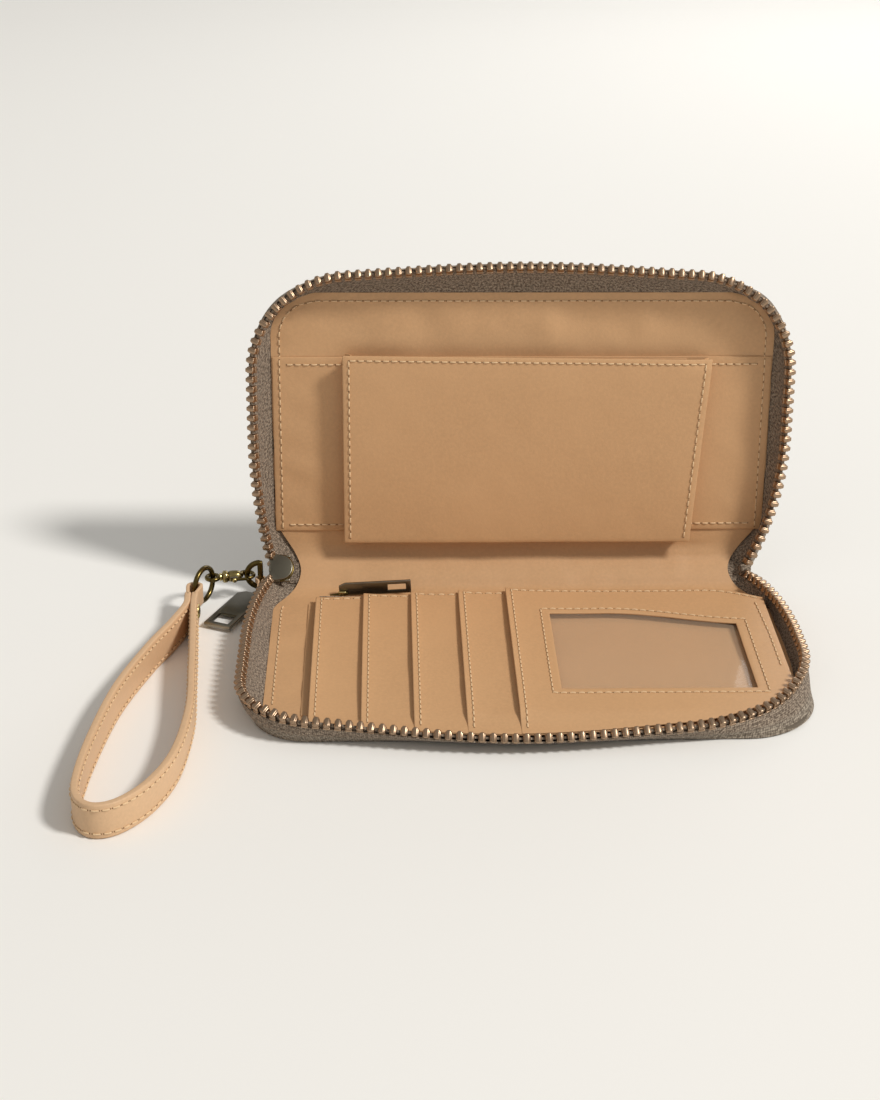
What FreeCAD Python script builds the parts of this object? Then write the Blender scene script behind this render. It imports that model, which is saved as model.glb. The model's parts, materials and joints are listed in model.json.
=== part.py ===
import FreeCAD, Part
import math
import os

import Sketcher
from FreeCAD import Placement, Rotation, Vector

# Zip around wallet lying open, with its wrist strap clipped to the left end.
# Frame: origin at the middle of the lower half's flat underside, +X to the right, +Y to the folds, +Z up.
# Each half and the spine are drawn flat: X across, Y away from the fold line, Z up from the outer face.

DOC = FreeCAD.newDocument("zip_around_wallet")
SHEET = DOC.addObject("Spreadsheet::Sheet", "Sizes")

SIZES = {
    # the shell
    "half_width": 100.0,
    "half_length": 108.0,
    "corner_round": 20.0,
    "spine_width": 20.0,
    "rest_fold": 42.0,
    "spine_half_width": 86.0,
    "cover_thick": 0.8,
    "board_thick": 1.2,
    "lining_thick": 0.8,
    "fold_clear": 0.1,
    "seam_margin": 4.0,
    # the zip round the case
    "tape_start": 9.0,
    "tape_thick": 0.6,
    "tape_top": 7.0,
    "tape_foot_inset": 2.2,
    "tape_foot_round": 17.8,
    "tape_lean": 4.0,
    "tooth_pitch": 3.7,
    "tooth_along": 1.8,
    "tooth_across": 2.8,
    "tooth_tall": 2.8,
    # the card side
    "sheet_thick": 0.5,
    "panel_near": 9.0,
    "panel_far": 103.0,
    "panel_left": 88.0,
    "panel_right": 94.0,
    "panel_level": 3.9,
    "slot_first": 79.2,
    "slot_step": 18.2,
    "slot_deep": 56.0,
    "layer_gap": 0.1,
    "window_left": 8.5,
    "window_right": 78.0,
    "window_near": 29.0,
    "window_far": 86.0,
    "window_round": 2.0,
    "vinyl_thick": 0.3,
    "id_thick": 0.6,
    "pouch_left": 82.0,
    "pouch_right": 88.0,
    "pouch_near": 11.0,
    "pouch_far": 95.0,
    "backing_left": 2.0,
    "backing_right": 92.0,
    "backing_near": 21.0,
    "backing_far": 96.0,
    "vinyl_left": 3.0,
    "vinyl_right": 86.0,
    "vinyl_near": 22.0,
    "vinyl_far": 94.0,
    # the coin zip behind the card panel
    "coin_band_near": 7.4,
    "coin_band_thick": 0.5,
    "coin_band_low": 2.9,
    "coin_band_tall": 4.4,
    "coin_left": 78.0,
    "coin_tooth_pitch": 1.6,
    "coin_slider_start": 4.0,
    "coin_slider_long": 7.0,
    "coin_slider_tall": 3.6,
    "coin_slider_lift": 0.6,
    "coin_pull_thick": 1.0,
    "coin_pull_tall": 5.4,
    "coin_pull_left": 70.5,
    "coin_pull_right": 42.6,
    "coin_window_left": 52.0,
    "coin_window_right": 45.0,
    # the phone side
    "strip_near": 10.0,
    "strip_far": 78.0,
    "pocket_left": 69.0,
    "pocket_right": 69.5,
    "pocket_near": 6.0,
    "pocket_far": 80.0,
    "pocket_back_level": 3.5,
    "pocket_front_level": 10.0,
    "pocket_front_thick": 0.7,
    "gusset_thick": 0.8,
    # the metal
    "slider_long": 10.0,
    "slider_wide": 11.0,
    "slider_outer": 98.5,
    "slider_plate": 1.2,
    "slider_tall": 9.0,
    "slider_post": 3.0,
    "bridge_drop": 3.0,
    "bridge_wire": 1.2,
    "bridge_bar": 1.0,
    "bridge_long": 7.2,
    "bridge_inset": 0.2,
    "bridge_shift": 1.0,
    "link_round": 1.9,
    "link_bore": 1.1,
    "link_long": 2.6,
    "link_wire": 0.6,
    "pull_wide": 11.0,
    "pull_thick": 1.5,
    "pull_start": 0.6,
    "pull_window_long": 7.5,
    "pull_window_wide": 6.8,
    "pull_window_rim": 2.5,
    "ring_wire": 1.1,
    "d_ring_round": 5.2,
    "eye_wire": 0.8,
    "eye_round": 2.3,
    "strap_ring_wire": 1.0,
    "strap_ring_round": 6.6,
    "barrel_round": 2.2,
    "barrel_start": 2.2,
    "barrel_long": 7.6,
    "claw_round": 2.6,
    "swivel_bore": 1.25,
    "swivel_post": 1.17,
    "swivel_start": 7.0,
    "gate_aside": 3.2,
    "gate_long": 6.4,
    "knob_round": 0.8,
    "knob_long": 2.6,
    "tab_low": 6.8,
    "tab_tall": 2.2,
    "tab_clear": 0.2,
    "tab_wall": 0.7,
    # the wrist strap
    "strap_wide": 12.5,
    "strap_thick": 2.4,
    "strap_low": 0.2,
    "strap_end_wide": 5.0,
    "strap_end_low": 7.5,
    "neck_gap": 0.1,
    "neck_long": 4.0,
    "rivet_round": 1.15,
    "rivet_hole": 1.25,
    "rivet_head_round": 2.6,
    "rivet_head_thick": 0.7,
    "rivet_back": 1.6,
}

for row, (alias, number) in enumerate(SIZES.items(), start=1):
    SHEET.set(f"A{row}", alias)
    SHEET.set(f"B{row}", str(number))
    SHEET.setAlias(f"B{row}", alias)
DOC.recompute()

FOLD_Y = SHEET.half_length / 2
LOWER = -1
UPPER = 1
PARTS = []


def fold_placement(folds):
    """Where a piece drawn flat goes: 0 folds is the lower half, 1 the spine and 2 the upper half."""
    first = Placement(Vector(0, FOLD_Y, 0), Rotation(Vector(1, 0, 0), folds * SHEET.rest_fold))
    if folds < 2:
        return first
    angle = math.radians(SHEET.rest_fold)
    end = Vector(0, FOLD_Y + SHEET.spine_width * math.cos(angle), SHEET.spine_width * math.sin(angle))
    return Placement(end, first.Rotation)


def keep(piece, label):
    """Names a finished sub-part and puts it on the list that is checked and written."""
    piece.Label = label
    PARTS.append(piece)
    return piece


def sized(text):
    """An expression on the sheet, from text in which each alias stands alone."""
    words = []
    for word in text.replace("(", " ( ").replace(")", " ) ").split():
        words.append(f"{SHEET.Name}.{word}" if word in SIZES else word)
    return " ".join(words)


def amount(text):
    """The number that an expression on the sheet stands for."""
    return float(SHEET.evalExpression(text))


def new_sketch(body, name, level):
    sketch = body.newObject("Sketcher::SketchObject", name)
    plane = next(item for item in body.Origin.OriginFeatures if item.Role == "XY_Plane")
    sketch.AttachmentSupport = [(plane, "")]
    sketch.MapMode = "FlatFace"
    sketch.setExpression("AttachmentOffset.Base.z", sized(level))
    return sketch


def bind(sketch, kind, line, point, text):
    """Holds one end of a line at a distance from the sketch's origin that the sheet gives."""
    index = sketch.addConstraint(Sketcher.Constraint(kind, -1, 1, line, point, amount(text)))
    sketch.setExpression(f"Constraints[{index}]", sized(text))


def add_rectangle(sketch, left, right, front, back):
    """A closed rectangle whose four sides are held by the sheet."""
    low = Vector(amount(left), amount(front), 0)
    high = Vector(amount(right), amount(back), 0)
    corners = [low, Vector(high.x, low.y, 0), high, Vector(low.x, high.y, 0)]
    first = sketch.GeometryCount
    for number in range(4):
        sketch.addGeometry(Part.LineSegment(corners[number], corners[(number + 1) % 4]), False)
    for number in range(4):
        following = first + (number + 1) % 4
        sketch.addConstraint(Sketcher.Constraint("Coincident", first + number, 2, following, 1))
        flat = "Horizontal" if number % 2 == 0 else "Vertical"
        sketch.addConstraint(Sketcher.Constraint(flat, first + number))
    bind(sketch, "DistanceX", first, 1, left)
    bind(sketch, "DistanceX", first, 2, right)
    bind(sketch, "DistanceY", first, 1, front)
    bind(sketch, "DistanceY", first + 2, 1, back)


def pad(body, sketch, thick):
    feature = body.newObject("PartDesign::Pad", "Pad")
    feature.Profile = sketch
    feature.setExpression("Length", sized(thick))
    body.Tip = feature
    return feature


def upright_edges(feature, wanted):
    """Names of the edges along Z that stand at one of the wanted corners."""
    names = []
    for number, edge in enumerate(feature.Shape.Edges, start=1):
        ends = [vertex.Point for vertex in edge.Vertexes]
        if len(ends) < 2 or abs(ends[0].x - ends[1].x) + abs(ends[0].y - ends[1].y) > 1e-6:
            continue
        if any(abs(ends[0].x - x) + abs(ends[0].y - y) < 1e-3 for x, y in wanted):
            names.append(f"Edge{number}")
    return names


def round_corners(body, feature, wanted, radius):
    DOC.recompute()
    fillet = body.newObject("PartDesign::Fillet", "Corners")
    fillet.Base = (feature, upright_edges(feature, wanted))
    fillet.setExpression("Radius", sized(radius))
    body.Tip = fillet
    return fillet


def span(side, near, far):
    """Front and back of a piece that runs from near to far away from the fold."""
    if side == LOWER:
        return f"-1 * ( {far} )", f"-1 * ( {near} )"
    return near, far


def slab(label, folds, left, right, front, back, level, thick, corners=None, radius=None, window=None):
    """A flat piece: a rectangle padded up from its level, with its outer corners rounded where asked."""
    body = DOC.addObject("PartDesign::Body", label)
    sketch = new_sketch(body, "Outline", level)
    add_rectangle(sketch, left, right, front, back)
    if window:
        add_rectangle(sketch, *window)
    feature = pad(body, sketch, thick)
    if corners:
        feature = round_corners(body, feature, corners, radius)
    if window:
        edges = [(amount(x), amount(y)) for x in window[:2] for y in window[2:]]
        round_corners(body, feature, edges, "window_round")
    body.Placement = fold_placement(folds)
    return keep(body, label)


def shell_layer(label, side, inset, near, level, thick, radius):
    """One layer of a half's shell, with the two corners away from the fold rounded."""
    width = f"half_width - {inset}"
    front, back = span(side, near, f"half_length - {inset}")
    far = amount(f"half_length - {inset}") * side
    corners = [(-amount(width), far), (amount(width), far)]
    left = f"-1 * ( {width} )"
    return slab(label, 1 + side, left, width, front, back, level, thick, corners, radius)


def shell_half(name, side):
    """Outer cloth, stiffening board and lining of one half, each set back far enough to fold closed."""
    board_level = "cover_thick"
    lining_level = "cover_thick + board_thick"
    inner_round = "corner_round - seam_margin"
    cover_near = "cover_thick + fold_clear"
    board_near = "cover_thick + board_thick + 3 * fold_clear"
    lining_near = "cover_thick + board_thick + lining_thick + 3 * fold_clear"
    shell_layer(f"{name}_cover", side, "0", cover_near, "0", "cover_thick", "corner_round")
    shell_layer(f"{name}_board", side, "seam_margin", board_near, board_level, "board_thick", inner_round)
    shell_layer(f"{name}_lining", side, "seam_margin", lining_near, lining_level, "lining_thick", inner_round)


def add_band_outline(sketch, side, half, reach, radius):
    """A U of constant thickness round the three open sides: out one side, across and back."""
    inner = [half - SHEET.tape_thick, reach - SHEET.tape_thick, radius - SHEET.tape_thick]
    start = SHEET.tape_start
    pieces = []
    for width, far, bend, direction in ((half, reach, radius, 1), (inner[0], inner[1], inner[2], -1)):
        quarter = bend * (1 - math.sqrt(0.5))
        points = [
            Vector(-width, start, 0), Vector(-width, far - bend, 0),
            Vector(-width + quarter, far - quarter, 0), Vector(-width + bend, far, 0),
            Vector(width - bend, far, 0), Vector(width - quarter, far - quarter, 0),
            Vector(width, far - bend, 0), Vector(width, start, 0),
        ]
        points = [Vector(point.x, side * point.y, 0) for point in points][::direction]
        pieces += [
            Part.LineSegment(points[0], points[1]), Part.Arc(points[1], points[2], points[3]),
            Part.LineSegment(points[3], points[4]), Part.Arc(points[4], points[5], points[6]),
            Part.LineSegment(points[6], points[7]),
        ]
    outer_end, inner_start = pieces[4].EndPoint, pieces[5].StartPoint
    pieces.insert(5, Part.LineSegment(outer_end, inner_start))
    pieces.append(Part.LineSegment(pieces[-1].EndPoint, pieces[0].StartPoint))
    for piece in pieces:
        sketch.addGeometry(piece, False)
        sketch.addConstraint(Sketcher.Constraint("Block", sketch.GeometryCount - 1))


def band_sizes(top):
    """Half width, reach and corner radius of the tape's foot or of its top edge."""
    lean = SHEET.tape_lean if top else 0.0
    half = SHEET.half_width - SHEET.tape_foot_inset + lean
    reach = SHEET.half_length - SHEET.tape_foot_inset + lean
    return half, reach, SHEET.tape_foot_round + lean


def zip_tape(name, side):
    """Woven tape sewn to the margin of the cover, leaning out towards its teeth."""
    body = DOC.addObject("PartDesign::Body", f"{name}_zip_tape")
    foot = new_sketch(body, "Foot", "cover_thick")
    add_band_outline(foot, side, *band_sizes(False))
    top = new_sketch(body, "Top", "tape_top")
    add_band_outline(top, side, *band_sizes(True))
    loft = body.newObject("PartDesign::AdditiveLoft", "Wall")
    loft.Profile = foot
    loft.Sections = [top]
    loft.Ruled = True
    body.Tip = loft
    body.Placement = fold_placement(1 + side)
    return keep(body, f"{name}_zip_tape")


def zip_teeth(name, side):
    """Metal teeth clamped along the tape's top edge, one solid each, at an even pitch."""
    half, reach, radius = band_sizes(True)
    middle = SHEET.tape_thick / 2
    half, reach, radius = half - middle, reach - middle, radius - middle
    straight = reach - radius - SHEET.tape_start
    quarter = radius * math.pi / 2
    across = 2 * (half - radius)
    total = 2 * straight + 2 * quarter + across
    count = int(total / SHEET.tooth_pitch)
    margin = (total - (count - 1) * SHEET.tooth_pitch) / 2
    teeth = []
    for number in range(count):
        distance = margin + number * SHEET.tooth_pitch
        mirrored = distance > total / 2
        place = min(distance, total - distance)
        if place < straight:
            x, y, turn = -half, SHEET.tape_start + place, 90.0
        elif place < straight + quarter:
            angle = (place - straight) / radius
            x = -half + radius * (1 - math.cos(angle))
            y = reach - radius + radius * math.sin(angle)
            turn = 90.0 - math.degrees(angle)
        else:
            x, y, turn = -half + radius + place - straight - quarter, reach, 0.0
        if mirrored:
            x, turn = -x, -turn
        tooth = Part.makeBox(
            SHEET.tooth_along, SHEET.tooth_across, SHEET.tooth_tall,
            Vector(-SHEET.tooth_along / 2, -SHEET.tooth_across / 2, 0))
        spot = Vector(x, side * y, SHEET.tape_top)
        tooth.Placement = Placement(spot, Rotation(Vector(0, 0, 1), side * turn))
        teeth.append(tooth)
    group = DOC.addObject("Part::Feature", f"{name}_zip_teeth")
    group.Shape = Part.makeCompound(teeth)
    group.Placement = fold_placement(1 + side)
    return keep(group, f"{name}_zip_teeth")


def spine():
    """Soft strip between the folds, narrower than the halves, with the tails of the zip sewn on its ends."""
    left, right = "-1 * spine_half_width", "spine_half_width"
    edge = "cover_thick + fold_clear"
    far = f"spine_width - ( {edge} )"
    slab("spine_cover", 1, left, right, edge, far, "0", "cover_thick")
    edge = "cover_thick + lining_thick + fold_clear"
    far = f"spine_width - ( {edge} )"
    slab("spine_lining", 1, left, right, edge, far, "cover_thick", "lining_thick")
    level = "cover_thick + lining_thick"
    tail = ("6", "spine_width - 6", level, "tooth_tall / 2")
    slab("zip_tail_left", 1, left, "-1 * spine_half_width + 9", *tail)
    slab("zip_tail_right", 1, "spine_half_width - 7", right, *tail)
    stop_level = f"{level} + tooth_tall / 2"
    slab("zip_bottom_stop", 1, left, "-1 * spine_half_width + 2", "8", "12", stop_level, "1.2")


def zip_slider():
    """Two plates on a post, with a bridge bar along the travel for the pull."""
    body = DOC.addObject("PartDesign::Body", "zip_slider")
    outer, inner = "-1 * slider_outer", "-1 * ( slider_outer - slider_long )"
    middle = "spine_width / 2"
    near, far = f"{middle} - slider_wide / 2", f"{middle} + slider_wide / 2"
    post = new_sketch(body, "Post", "-1 * slider_plate")
    post_near, post_far = f"{middle} - slider_post / 2", f"{middle} + slider_post / 2"
    add_rectangle(post, outer, f"{outer} + slider_post", post_near, post_far)
    pad(body, post, "slider_tall")
    inner_level = "slider_tall - 2 * slider_plate"
    for name, level in (("InnerPlate", inner_level), ("OuterPlate", "-1 * slider_plate")):
        sketch = new_sketch(body, name, level)
        add_rectangle(sketch, outer, inner, near, far)
        plate = pad(body, sketch, "slider_plate")
        ends = [(amount(inner), amount(near)), (amount(inner), amount(far))]
        round_corners(body, plate, ends, "slider_wide / 2 - 1")
    bridge_near = f"{middle} - bridge_shift - bridge_wire / 2"
    bridge_far = f"{middle} - bridge_shift + bridge_wire / 2"
    bridge_level = "-1 * slider_plate - bridge_drop"
    start, end = f"{outer} + bridge_inset", f"{outer} + bridge_long"
    for name, left, right in (("BridgeFootOuter", start, f"{start} + bridge_wire"),
                              ("BridgeFootInner", f"{end} - bridge_wire", end)):
        sketch = new_sketch(body, name, bridge_level)
        add_rectangle(sketch, left, right, bridge_near, bridge_far)
        pad(body, sketch, "bridge_drop + slider_plate / 2")
    sketch = new_sketch(body, "BridgeBar", bridge_level)
    add_rectangle(sketch, start, end, bridge_near, bridge_far)
    pad(body, sketch, "bridge_bar")
    body.Placement = fold_placement(1)
    return keep(body, "zip_slider")


def card_side():
    """Card panel, four card pockets open to the left, and the pocket with the clear window."""
    front, back = span(LOWER, "panel_near", "panel_far")
    corner_y = -amount("panel_far")
    corners = [(-amount("panel_left"), corner_y), (amount("panel_right"), corner_y)]
    radius = "corner_round - seam_margin - 4"
    back_level = "cover_thick + board_thick + lining_thick + layer_gap"
    slab("coin_pouch_back", 0, "-1 * pouch_left", "pouch_right", *span(LOWER, "pouch_near", "pouch_far"),
         back_level, "sheet_thick")
    slab("card_panel", 0, "-1 * panel_left", "panel_right", front, back, "panel_level", "sheet_thick + 0.1",
         corners, radius)
    layer = "( sheet_thick + layer_gap )"
    for number in range(4):
        left = f"-1 * ( slot_first - {number} * slot_step )"
        level = f"panel_level + 0.1 + {number + 1} * {layer}"
        slab(f"card_pocket_{number + 1}", 0, left, f"{left} + slot_deep",
             *span(LOWER, "panel_near", "panel_far"), level, "sheet_thick")
    id_left = "-1 * ( slot_first - 4 * slot_step )"
    level = f"panel_level + 0.1 + 5 * {layer}"
    slab("id_backing", 0, "backing_left", "backing_right", *span(LOWER, "backing_near", "backing_far"),
         level, "sheet_thick - layer_gap")
    level = f"{level} + sheet_thick"
    slab("id_window", 0, "vinyl_left", "vinyl_right", *span(LOWER, "vinyl_near", "vinyl_far"),
         level, "vinyl_thick")
    level = f"{level} + vinyl_thick + layer_gap"
    window = ("window_left", "window_right", *span(LOWER, "window_near", "window_far"))
    slab("id_panel", 0, id_left, "panel_right", front, back, level, "id_thick",
         [(amount("panel_right"), corner_y)], radius, window)


def coin_zip():
    """Small zip standing along the top of the card panel: tape, teeth, slider and pull."""
    left = "-1 * coin_left"
    band = span(LOWER, "coin_band_near", "coin_band_near + coin_band_thick")
    slab("coin_zip_tape", 0, left, "coin_left", *band, "coin_band_low", "coin_band_tall")
    teeth = []
    step = SHEET.coin_tooth_pitch
    margin = SHEET.coin_slider_start
    level = SHEET.coin_band_low + 1.8
    for number in range(int(2 * (SHEET.coin_left - margin) / step)):
        corner = Vector(margin - SHEET.coin_left + number * step, -SHEET.coin_band_near, level)
        teeth.append(Part.makeBox(step / 2, SHEET.coin_band_thick, 1.0, corner))
    group = DOC.addObject("Part::Feature", "coin_zip_teeth")
    group.Shape = Part.makeCompound(teeth)
    group.Placement = fold_placement(0)
    keep(group, "coin_zip_teeth")
    start = f"{left} + coin_slider_start"
    slab("coin_slider", 0, start, f"{start} + coin_slider_long",
         *span(LOWER, "coin_band_near - 2.1", "coin_band_near - 0.7"),
         "coin_band_low + coin_slider_lift", "coin_slider_tall")
    body = DOC.addObject("PartDesign::Body", "coin_pull")
    sketch = new_sketch(body, "Plate", "coin_band_low + 0.5")
    plate_far = "coin_band_near - 2.3"
    add_rectangle(sketch, "-1 * coin_pull_left", "-1 * coin_pull_right",
                  *span(LOWER, f"{plate_far} - coin_pull_thick", plate_far))
    plate = pad(body, sketch, "coin_pull_tall")
    DOC.recompute()
    before = plate.Shape.Volume
    opening = body.newObject("Sketcher::SketchObject", "Opening")
    upright = next(item for item in body.Origin.OriginFeatures if item.Role == "XZ_Plane")
    opening.AttachmentSupport = [(upright, "")]
    opening.MapMode = "FlatFace"
    add_rectangle(opening, "-1 * coin_window_left", "-1 * coin_window_right",
                  "coin_band_low + 1.8", "coin_band_low + 4.6")
    cut = body.newObject("PartDesign::Pocket", "Cut")
    cut.Profile = opening
    cut.Type = "ThroughAll"
    cut.Midplane = True
    body.Tip = cut
    DOC.recompute()
    if cut.Shape.Volume >= before:
        raise RuntimeError("the pull's opening cut nothing")
    body.Placement = fold_placement(0)
    keep(body, "coin_pull")


def phone_side():
    """Full width strip pocket, and on it the phone pocket on folding gussets."""
    level = "cover_thick + board_thick + lining_thick + layer_gap"
    slab("strip_pocket", 2, "-1 * panel_right", "panel_right", "strip_near", "strip_far",
         level, "sheet_thick")
    slab("phone_pocket_back", 2, "-1 * pocket_left", "pocket_right", "pocket_near + 1", "pocket_far",
         "pocket_back_level", "sheet_thick")
    low = "pocket_back_level + sheet_thick + layer_gap"
    tall = f"pocket_front_level - layer_gap - ( {low} )"
    near, far = "pocket_near + 1 + gusset_thick + layer_gap", "pocket_far - 1"
    left, right = "-1 * pocket_left + 0.5", "pocket_right - 0.5"
    slab("phone_gusset_left", 2, left, f"{left} + gusset_thick", near, far, low, tall)
    slab("phone_gusset_right", 2, f"{right} - gusset_thick", right, near, far, low, tall)
    near = "pocket_near + 1"
    slab("phone_gusset_bottom", 2, left, right, near, f"{near} + gusset_thick", low, tall)
    slab("phone_pocket_front", 2, "-1 * pocket_left", "pocket_right", "pocket_near", "pocket_far",
         "pocket_front_level", "pocket_front_thick")


# Places of the hardware at the left end, at rest.
D_RING_BAR = Vector(-101.0, 54.5, 10.2)
HOOK_LEVEL = 10.0
EYE = Vector(-119.3, 52.5, HOOK_LEVEL)
RING_REACH = Vector(0.45, 0.893, 0.0).normalize()
PULL_PIVOT = Vector(-104.0, 54.6, 2.0)
PULL_TIP = Vector(-116.3, 27.4, 2.0)
LINK_ARM = [
    Vector(-96.0, 61.86, 2.47), Vector(-99.3, 60.6, 2.1), Vector(-99.6, 56.2, 1.9), Vector(-103.7, 55.3, 2.0),
]


def cylinder(name, radius, tall, start, along):
    piece = DOC.addObject("Part::Cylinder", name)
    piece.setExpression("Radius", sized(radius))
    piece.Height = tall
    piece.Placement = Placement(start, Rotation(Vector(0, 0, 1), along))
    return piece


def torus(name, radius, wire, centre, rotation, sweep=360.0):
    piece = DOC.addObject("Part::Torus", name)
    piece.setExpression("Radius1", sized(radius))
    piece.setExpression("Radius2", sized(wire))
    piece.Angle3 = sweep
    piece.Placement = Placement(centre, rotation)
    return piece


def fuse(label, pieces, tools=()):
    """One sub-part out of primitives, less the tools."""
    result = DOC.addObject("Part::MultiFuse", f"{label}_fuse")
    result.Shapes = pieces
    if tools:
        cut = DOC.addObject("Part::Cut", f"{label}_cut")
        cut.Base = result
        cut.Tool = tools[0]
        result = cut
    return keep(result, label)


def d_ring():
    """Half ring of wire closed by a straight bar that turns in the leather tab."""
    facing = Rotation(Vector(0, 0, 1), Vector(-1, 0, 0), Vector(0, -1, 0), "XYZ")
    bow = torus("d_ring_bow", "d_ring_round", "ring_wire", D_RING_BAR, facing, 180.0)
    tall = 2 * SHEET.d_ring_round
    foot = D_RING_BAR - Vector(0, 0, SHEET.d_ring_round)
    bar = cylinder("d_ring_bar", "ring_wire", tall, foot, Vector(0, 0, 1))
    corners = []
    for number, lift in enumerate((0.0, tall)):
        ball = DOC.addObject("Part::Sphere", f"d_ring_corner_{number + 1}")
        ball.setExpression("Radius", sized("ring_wire"))
        ball.Placement = Placement(foot + Vector(0, 0, lift), Rotation())
        corners.append(ball)
    return fuse("d_ring", [bow, bar] + corners)


def d_ring_tab():
    """Leather tab folded round the ring's bar, its tail sewn to the end of the lower tape."""
    low, tall = SHEET.tab_low, SHEET.tab_tall
    start = Vector(D_RING_BAR.x, D_RING_BAR.y, low)
    loop = cylinder("tab_loop", "ring_wire + tab_clear + tab_wall", tall, start, Vector(0, 0, 1))
    hole = cylinder("tab_hole", "ring_wire + tab_clear", tall, start, Vector(0, 0, 1))
    tail = DOC.addObject("Part::Box", "tab_tail")
    tail.Length = 2 * SHEET.tab_wall + SHEET.tab_clear
    back = D_RING_BAR.y - SHEET.ring_wire - SHEET.tab_clear
    front = FOLD_Y - SHEET.tape_start + SHEET.tab_clear
    tail.Width = back - front
    tail.Height = tall
    tail.Placement = Placement(Vector(D_RING_BAR.x - tail.Length.Value / 2, front, low), Rotation())
    return fuse("d_ring_tab", [loop, tail], [hole])


def hook_frame():
    """Where the hook holds the ring, and the direction from there to its swivel."""
    hold = Vector(D_RING_BAR.x - SHEET.d_ring_round, D_RING_BAR.y, HOOK_LEVEL)
    return hold, (EYE - hold).normalize()


def snap_hook():
    """Claw round the ring's wire, barrel behind it, and a bore for the swivel."""
    hold, along = hook_frame()
    turn = math.degrees(math.atan2(along.y, along.x))
    claw = torus("hook_claw", "claw_round", "eye_wire", hold, Rotation(Vector(0, 0, 1), turn + 90), 270.0)
    start = hold + along * SHEET.barrel_start
    barrel = cylinder("hook_barrel", "barrel_round", SHEET.barrel_long, start, along)
    deep = SHEET.barrel_start + SHEET.barrel_long - SHEET.swivel_start + SHEET.tab_clear
    bore = cylinder("hook_bore", "swivel_bore", deep, hold + along * SHEET.swivel_start, along)
    return fuse("snap_hook", [claw, barrel], [bore])


def hook_gate():
    """Sprung bolt beside the barrel that closes the claw, with its thumb knob."""
    hold, along = hook_frame()
    aside = Vector(0, 0, 1).cross(along)
    start = hold + aside * SHEET.gate_aside + along * 0.25
    bolt = cylinder("gate_bolt", "eye_wire - 0.1", SHEET.gate_long, start, along)
    knob_foot = start + along * (SHEET.gate_long - 1.8) + Vector(0, 0, -0.3)
    knob = cylinder("gate_knob", "knob_round", SHEET.knob_long, knob_foot, Vector(0, 0, 1))
    return fuse("hook_gate", [bolt, knob])


def swivel_eye():
    """Eye that the strap's ring hangs in, on a post that turns in the barrel."""
    hold, along = hook_frame()
    eye = torus("swivel_loop", "eye_round", "eye_wire", EYE, Rotation())
    post_start = SHEET.swivel_start + SHEET.tab_clear
    tall = (EYE - hold).Length - SHEET.eye_round - post_start
    post = cylinder("swivel_post", "swivel_post", tall, hold + along * post_start, along)
    return fuse("swivel_eye", [eye, post])


def strap_ring():
    centre = EYE - RING_REACH * SHEET.strap_ring_round
    facing = Rotation(Vector(0, 0, 1), Vector(RING_REACH.y, -RING_REACH.x, 0))
    ring = torus("strap_ring", "strap_ring_round", "strap_ring_wire", centre, facing)
    return keep(ring, "strap_ring")


def wire_run(name, radius, points):
    """Round wire through the points, with a ball at each."""
    pieces = []
    for number, (start, end) in enumerate(zip(points, points[1:])):
        pieces.append(cylinder(f"{name}_{number + 1}", radius, (end - start).Length, start, end - start))
        ball = DOC.addObject("Part::Sphere", f"{name}_ball_{number + 1}")
        ball.setExpression("Radius", sized(radius))
        ball.Placement = Placement(end, Rotation())
        pieces.append(ball)
    return pieces


def pull_link():
    """Eye round the slider's bridge bar, and a bent arm that keeps clear of the slider and the half ring."""
    level = SHEET.bridge_bar / 2 - SHEET.slider_plate - SHEET.bridge_drop
    bar = Vector(LINK_ARM[0].x - SHEET.link_wire, SHEET.spine_width / 2 - SHEET.bridge_shift, level)
    bar = fold_placement(1).multVec(bar)
    eye = cylinder("link_eye", "link_round", SHEET.link_long, bar, Vector(1, 0, 0))
    hole = cylinder("link_hole", "link_bore", SHEET.link_long, bar, Vector(1, 0, 0))
    return fuse("pull_link", [eye] + wire_run("link_arm", "link_wire", LINK_ARM), [hole])


def zip_pull():
    """Flat plate with a square opening near its free end."""
    run = PULL_TIP - PULL_PIVOT
    body = DOC.addObject("PartDesign::Body", "zip_pull")
    sketch = new_sketch(body, "Plate", "0")
    side = "pull_wide / 2"
    tip = str(round(run.Length, 2))
    add_rectangle(sketch, "pull_start", tip, f"-1 * {side}", side)
    window_end = f"{tip} - pull_window_rim"
    window_side = "pull_window_wide / 2"
    add_rectangle(sketch, f"{window_end} - pull_window_long", window_end, f"-1 * {window_side}", window_side)
    plate = pad(body, sketch, "pull_thick")
    root = amount("pull_start")
    round_corners(body, plate, [(root, -amount(side)), (root, amount(side))], "3")
    turn = math.degrees(math.atan2(run.y, run.x))
    drop = Vector(0, 0, SHEET.pull_thick / 2)
    body.Placement = Placement(PULL_PIVOT - drop, Rotation(Vector(0, 0, 1), turn))
    return keep(body, "zip_pull")


def rounded_path(points, tightest):
    """Straight runs joined by tangent arcs as large as the runs beside them allow."""
    edges = []
    last = points[0]
    for before, corner, after in zip(points, points[1:], points[2:]):
        back, ahead = before - corner, after - corner
        turn = math.pi - back.getAngle(ahead)
        reach = 0.45 * min(back.Length, ahead.Length)
        radius = reach / math.tan(turn / 2)
        if radius < tightest:
            raise RuntimeError(f"the strap turns too tightly at {corner}: {radius:.1f} mm")
        begin = corner + back.normalize() * reach
        end = corner + ahead.normalize() * reach
        bisector = (back + ahead).normalize()
        middle = corner + bisector * (radius / math.cos(turn / 2) - radius)
        edges.append(Part.LineSegment(last, begin).toShape())
        edges.append(Part.Arc(begin, middle, end).toShape())
        last = end
    edges.append(Part.LineSegment(last, points[-1]).toShape())
    return Part.Wire(edges)


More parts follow.
